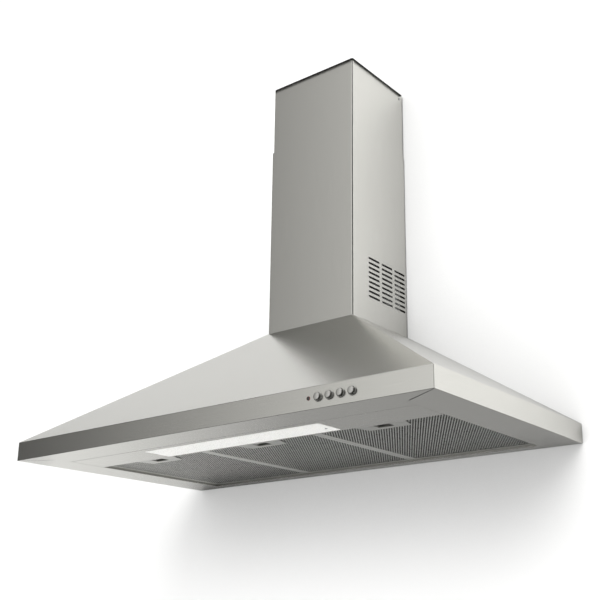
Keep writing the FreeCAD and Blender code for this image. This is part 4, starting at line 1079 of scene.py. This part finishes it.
def buttonProfile():
    c = controls
    face = -c["proud"]
    r, f = c["buttonRadius"], c["faceRadius"]
    profile = [(0, face), (f * 0.5, face + c["dome"] * 0.2), (f * 0.85, face + c["dome"] * 0.7)]
    profile += [(f, face + c["dome"] * 1.1), (r - 0.15, face + 0.8), (r, face + 1.2)]
    profile += [(r, c["flangeAt"]), (c["flangeRadius"], c["flangeAt"])]
    end = c["flangeAt"] + c["flangeThick"]
    return profile + [(c["flangeRadius"], end), (c["stemRadius"], end),
                      (c["stemRadius"], end + c["stemLong"]), (0, end + c["stemLong"])]


def bezelProfile():
    c = controls
    out, proud = c["bezelRadius"], -c["bezelProud"]
    return [(c["bore"], c["bezelLong"]), (c["bore"], proud + 0.5), (c["bore"] + 0.15, proud + 0.12),
            (c["bore"] + 0.5, proud), (out - 0.6, proud + 0.15), (out - 0.15, proud + 0.6),
            (out, proud + 1.1), (out, 0), (c["sleeve"] - 0.02, 0),
            (c["sleeve"] - 0.02, c["bezelLong"]), (c["bore"], c["bezelLong"])]


def lensProfile():
    c = controls
    r, proud = c["lensRadius"], -c["lensProud"]
    return [(0, proud), (r * 0.5, proud + 0.05), (r * 0.82, proud + 0.15),
            (r * 0.87, proud + 0.35), (r * 0.92, proud + 0.1), (r, proud + 0.3), (r, 0),
            (c["lensBody"] - 0.02, 0), (c["lensBody"] - 0.02, c["lensLong"]), (0, c["lensLong"])]


for number, x in enumerate(canopy["buttonsX"], 1):
    cap = makePiece("button_cap_%d" % number, turned(buttonProfile(), lookingFront(x), 40),
                    [turnedChrome], "button_%d" % number, ["button_%d" % number])
    smooth(cap, 40)
rings = [face for x in canopy["buttonsX"] for face in turned(bezelProfile(), lookingFront(x), 40)]
bezels = makePiece("buttonBezels", rings, [turnedChrome], "hood",
                   ["button_bezels"])
smooth(bezels, 40)
lensPlace, outline = lookingFront(canopy["indicatorX"]), lensProfile()
lensFaces = turned(outline[:4], lensPlace) + turned(outline[3:], lensPlace, number=1)
lensPiece = makePiece("indicatorLens", lensFaces, [smokedLens, redTint], "hood",
                      ["indicator_lens"])
smooth(lensPiece, 40)
print("controls built")


# CAD nodes that keep their shape take a finish for each record slot

finishes = {
    "stainless": steelAcross,
    "galvanised": zincSheet,
    "screw_steel": zincScrew,
    "opal_plastic": opalAcrylic,
    "ceramic_white": ceramic,
    "lamp_glass": lampGlass,
    "button_metal": turnedChrome,
    "dark_lens": smokedLens,
    "black_plastic": blackPlastic,
    "circuit_board": boardGreen,
    "guard_wire": guardPlastic,
    "motor_steel": lacqueredCan,
    "impeller_plastic": wheelPlastic,
    "capacitor_case": casePlastic,
    "filter_aluminium": paintedShadeCore,
    "handle_aluminium": handleAluminium,
    "latch_plastic": latchPlastic,
    "spring_steel": drawnSteel,
}
slotOf = {part["node"]: part["material_slot"] for part in frame["record"]["subparts"]}
for name, node in frame["nodes"].items():
    node.data.materials.clear()
    node.data.materials.append(finishes[slotOf[name]])
print("CAD nodes finished")


# Stage: a white wall, a pale floor, a sky and studio panels that only the metal sees

stage = {
    "wallY": 2,
    "floorZ": -900,
    "wallWhite": "9f9f9e",
    "wallGlow": 0.6,
    "wallReach": 0.25,    # how far in metres the painted contact shade of the hood reaches on the wall
    "floorWhite": "efefee",
    "skyLight": 0.55,
    "roomHalf": 6,
    "roomHigh": 5,
    "cardFar": 3.4,
    "keyPlace": (0.9, -3.2, 1.5),
    "keyAim": (0.0, 0.0, 0.2),
    "keySize": 2.2,
    "keyPower": 160,
    "fillPlace": (1.6, 2.4, 1.6),
    "fillAim": (0.0, 0.0, 0.3),
    "fillSize": 1.5,
    "fillPower": 25,
}


def stagePlate(name, corners, material):
    mesh = bpy.data.meshes.new(name)
    mesh.from_pydata(corners, [], [list(range(len(corners)))])
    mesh.materials.append(material)
    made = bpy.data.objects.new(name, mesh)
    scene.collection.objects.link(made)
    return made


def wallPaint():    # lit white paint with a glow of painted light, darkened by a painted contact shade near the hood, seen from the front only, so that the back can be viewed
    made = newMaterial("wallPaint")
    tree = made.node_tree
    paint = addNode(tree, "ShaderNodeBsdfDiffuse", {"Color": linear(stage["wallWhite"])})
    open_ = addNode(tree, "ShaderNodeAmbientOcclusion", {"Distance": stage["wallReach"]},
                    samples=16).outputs["AO"]
    place = addNode(tree, "ShaderNodeTexCoord").outputs["Object"]
    spot = addNode(tree, "ShaderNodeSeparateXYZ", {"Vector": place})
    mirror = addNode(tree, "ShaderNodeLightPath").outputs["Is Glossy Ray"]

    def ranged(value, low, high, toLow, toHigh):
        return addNode(tree, "ShaderNodeMapRange", {
            "Value": value, "From Min": low, "From Max": high, "To Min": toLow,
            "To Max": toHigh}).outputs["Result"]

    def calc(operation, a, b):
        return addNode(tree, "ShaderNodeMath", {0: a, 1: b}, operation=operation).outputs[0]

    # painted contact shade on the wall's glow: full below the rim, less above it, and none of the glow inside
    # the chimney
    strong = ranged(spot.outputs["Z"], -0.02, 0.1, 1.1, 0.95)
    shut = calc("SUBTRACT", 1.0, open_)
    level = calc("SUBTRACT", 1.0, calc("MULTIPLY", shut, strong))
    level = calc("MULTIPLY", level, ranged(open_, 0.26, 0.42, 0.0, stage["wallGlow"]))
    glow = addNode(tree, "ShaderNodeEmission", {"Strength": level})
    lit = addNode(tree, "ShaderNodeAddShader", {0: paint.outputs[0], 1: glow.outputs[0]})
    # painted shade that only reflections see: the wall is a little darker on the left and close to the hood
    shade = calc("MULTIPLY", shut, ranged(spot.outputs["Z"], 0.03, 0.12, 1.0, 0.42))
    shade = calc("ADD", ranged(spot.outputs["X"], -0.4, 0.1, 0.23, 0), shade)
    black = addNode(tree, "ShaderNodeEmission", {"Strength": 0})
    front = addNode(tree, "ShaderNodeMixShader", {
        0: calc("MULTIPLY", shade, mirror), 1: lit.outputs[0], 2: black.outputs[0]})
    clear = addNode(tree, "ShaderNodeBsdfTransparent")
    behind = addNode(tree, "ShaderNodeNewGeometry").outputs["Backfacing"]
    shown = addNode(tree, "ShaderNodeMixShader", {
        0: behind, 1: front.outputs[0], 2: clear.outputs[0]})
    addNode(tree, "ShaderNodeOutputMaterial", {"Surface": shown.outputs[0]})
    return made


def floorPaint():
    made = newMaterial("floorPaint")
    tree = made.node_tree
    paint = addNode(tree, "ShaderNodeBsdfDiffuse", {"Color": linear(stage["floorWhite"])})
    addNode(tree, "ShaderNodeOutputMaterial", {"Surface": paint.outputs[0]})
    return made


wallY, floorZ = stage["wallY"] * mm, stage["floorZ"] * mm
room, ceiling = stage["roomHalf"], stage["roomHigh"]
wall = stagePlate("stageWall", [(-room, wallY, floorZ), (room, wallY, floorZ),
                                (room, wallY, ceiling), (-room, wallY, ceiling)], wallPaint())
wall.visible_diffuse = wall.visible_shadow = wall.visible_transmission = False
stagePlate("stageFloor", [(-room, -room, floorZ), (room, -room, floorZ), (room, room, floorZ),
                          (-room, room, floorZ)], floorPaint())


def studioCard(name, near, far, stops):
    # A card between two rows of points that only reflections show. Its tone runs along the
    # rows, as (place, value) stops.
    made = newMaterial(name)
    tree = made.node_tree
    place = addNode(tree, "ShaderNodeTexCoord").outputs["UV"]
    along = addNode(tree, "ShaderNodeSeparateXYZ", {"Vector": place}).outputs["X"]
    ramp = addNode(tree, "ShaderNodeValToRGB", {"Fac": along})
    while len(ramp.color_ramp.elements) < len(stops):
        ramp.color_ramp.elements.new(0.5)
    for element, (spot, value) in zip(ramp.color_ramp.elements, stops):
        element.position = spot
        element.color = (value, value, value * 0.985, 1)    # a touch warmer than grey
    glow = addNode(tree, "ShaderNodeEmission", {"Color": ramp.outputs["Color"], "Strength": 1})
    addNode(tree, "ShaderNodeOutputMaterial", {"Surface": glow.outputs[0]})
    count = len(near)
    faces = [[i, i + count, i + count + 1, i + 1] for i in range(count - 1)]
    mesh = bpy.data.meshes.new(name)
    mesh.from_pydata(near + far, [], faces)
    layer = mesh.uv_layers.new(name="Along")
    for corner in mesh.loops:
        vertex = corner.vertex_index
        layer.data[corner.index].uv = (vertex % count / (count - 1), vertex // count)
    mesh.materials.append(made)
    card = bpy.data.objects.new(name, mesh)
    scene.collection.objects.link(card)
    card.visible_camera = card.visible_diffuse = False
    card.visible_shadow = card.visible_transmission = False


def arc(radius, start, end, z, count=16):    # azimuths are counted from -Y towards -X
    turns = [math.radians(start + (end - start) * i / count) for i in range(count + 1)]
    return [(-radius * math.sin(t), -radius * math.cos(t), z) for t in turns]


def row(x0, x1, y, z, count=16):
    return [(x0 + (x1 - x0) * i / count, y, z) for i in range(count + 1)]


far, lowRow = stage["cardFar"], floorZ + 0.02
studioCard("stageCardLeft", arc(far, 20, 80, floorZ), arc(far, 20, 80, 4.4),
           [(0.0, 1.0), (0.053, 0.93), (0.243, 0.62), (0.4, 0.34), (0.54, 0.1), (0.8, 0.04)])
studioCard("stageCardRight", arc(far, -16, -115, floorZ), arc(far, -16, -115, 3.0),
           [(0.0, 0.6), (0.15, 0.03), (0.85, 0.03), (1.0, 0.4)])
studioCard("stageCardLow", row(-2.5, 2.5, -3.3, lowRow), row(-2.5, 2.5, -0.2, lowRow),
           [(0.0, 0.05), (0.5, 0.05), (1.0, 0.05)])
# painted shade in reflections: a card under the hood that the underside reflects as the wall's shadow
studioCard("stageCardBelow", row(-1, 0.9, wallY / 2, floorZ), row(-1, 0.9, wallY / 2, -0.03),
           [(0.0, 1.0), (0.15, 0.85), (0.3, 0.62), (0.42, 0.42), (0.6, 0.38), (0.85, 0.34)])
# painted shade in reflections: a dark card over the chimney's open top, so that its inside reflects dark
studioCard("stageCardTop", row(-0.11, 0.11, -0.19, 0.7885), row(-0.11, 0.11, 0, 0.7885),
           [(0.0, 0.03), (0.5, 0.03), (1.0, 0.03)])

world = bpy.data.worlds.new("StudioSky")
world.use_nodes = True
sky = world.node_tree
sky.nodes.clear()
path = addNode(sky, "ShaderNodeLightPath")
seen = addNode(sky, "ShaderNodeMath", {0: path.outputs["Is Camera Ray"],
                                       1: path.outputs["Is Glossy Ray"]}, operation="MAXIMUM")
seen = addNode(sky, "ShaderNodeMath", {0: seen.outputs[0],
                                       1: path.outputs["Is Transmission Ray"]},
               operation="MAXIMUM")
level = addNode(sky, "ShaderNodeMapRange", {"Value": seen.outputs[0], "To Min": stage["skyLight"],
                                            "To Max": 1.0})
backdrop = addNode(sky, "ShaderNodeBackground", {"Color": linear("ffffff"),
                                                 "Strength": level.outputs["Result"]})
addNode(sky, "ShaderNodeOutputWorld", {"Surface": backdrop.outputs[0]})
scene.world = world


def softLamp(name, place, target, size, power):
    data = bpy.data.lights.new(name, "AREA")
    data.shape = "DISK"
    data.size = size
    data.energy = power
    lamp = bpy.data.objects.new(name, data)
    lamp.location = place
    lamp.rotation_mode = "QUATERNION"
    lamp.rotation_quaternion = (Vector(target) - Vector(place)).to_track_quat("-Z", "Y")
    scene.collection.objects.link(lamp)
    lamp.visible_glossy = False    # the panels and the sky give the metal what it reflects


softLamp("KeyLamp", stage["keyPlace"], stage["keyAim"], stage["keySize"], stage["keyPower"])
softLamp("BackFill", stage["fillPlace"], stage["fillAim"], stage["fillSize"], stage["fillPower"])
scene.view_settings.view_transform = "Standard"
print("stage and lamps set")
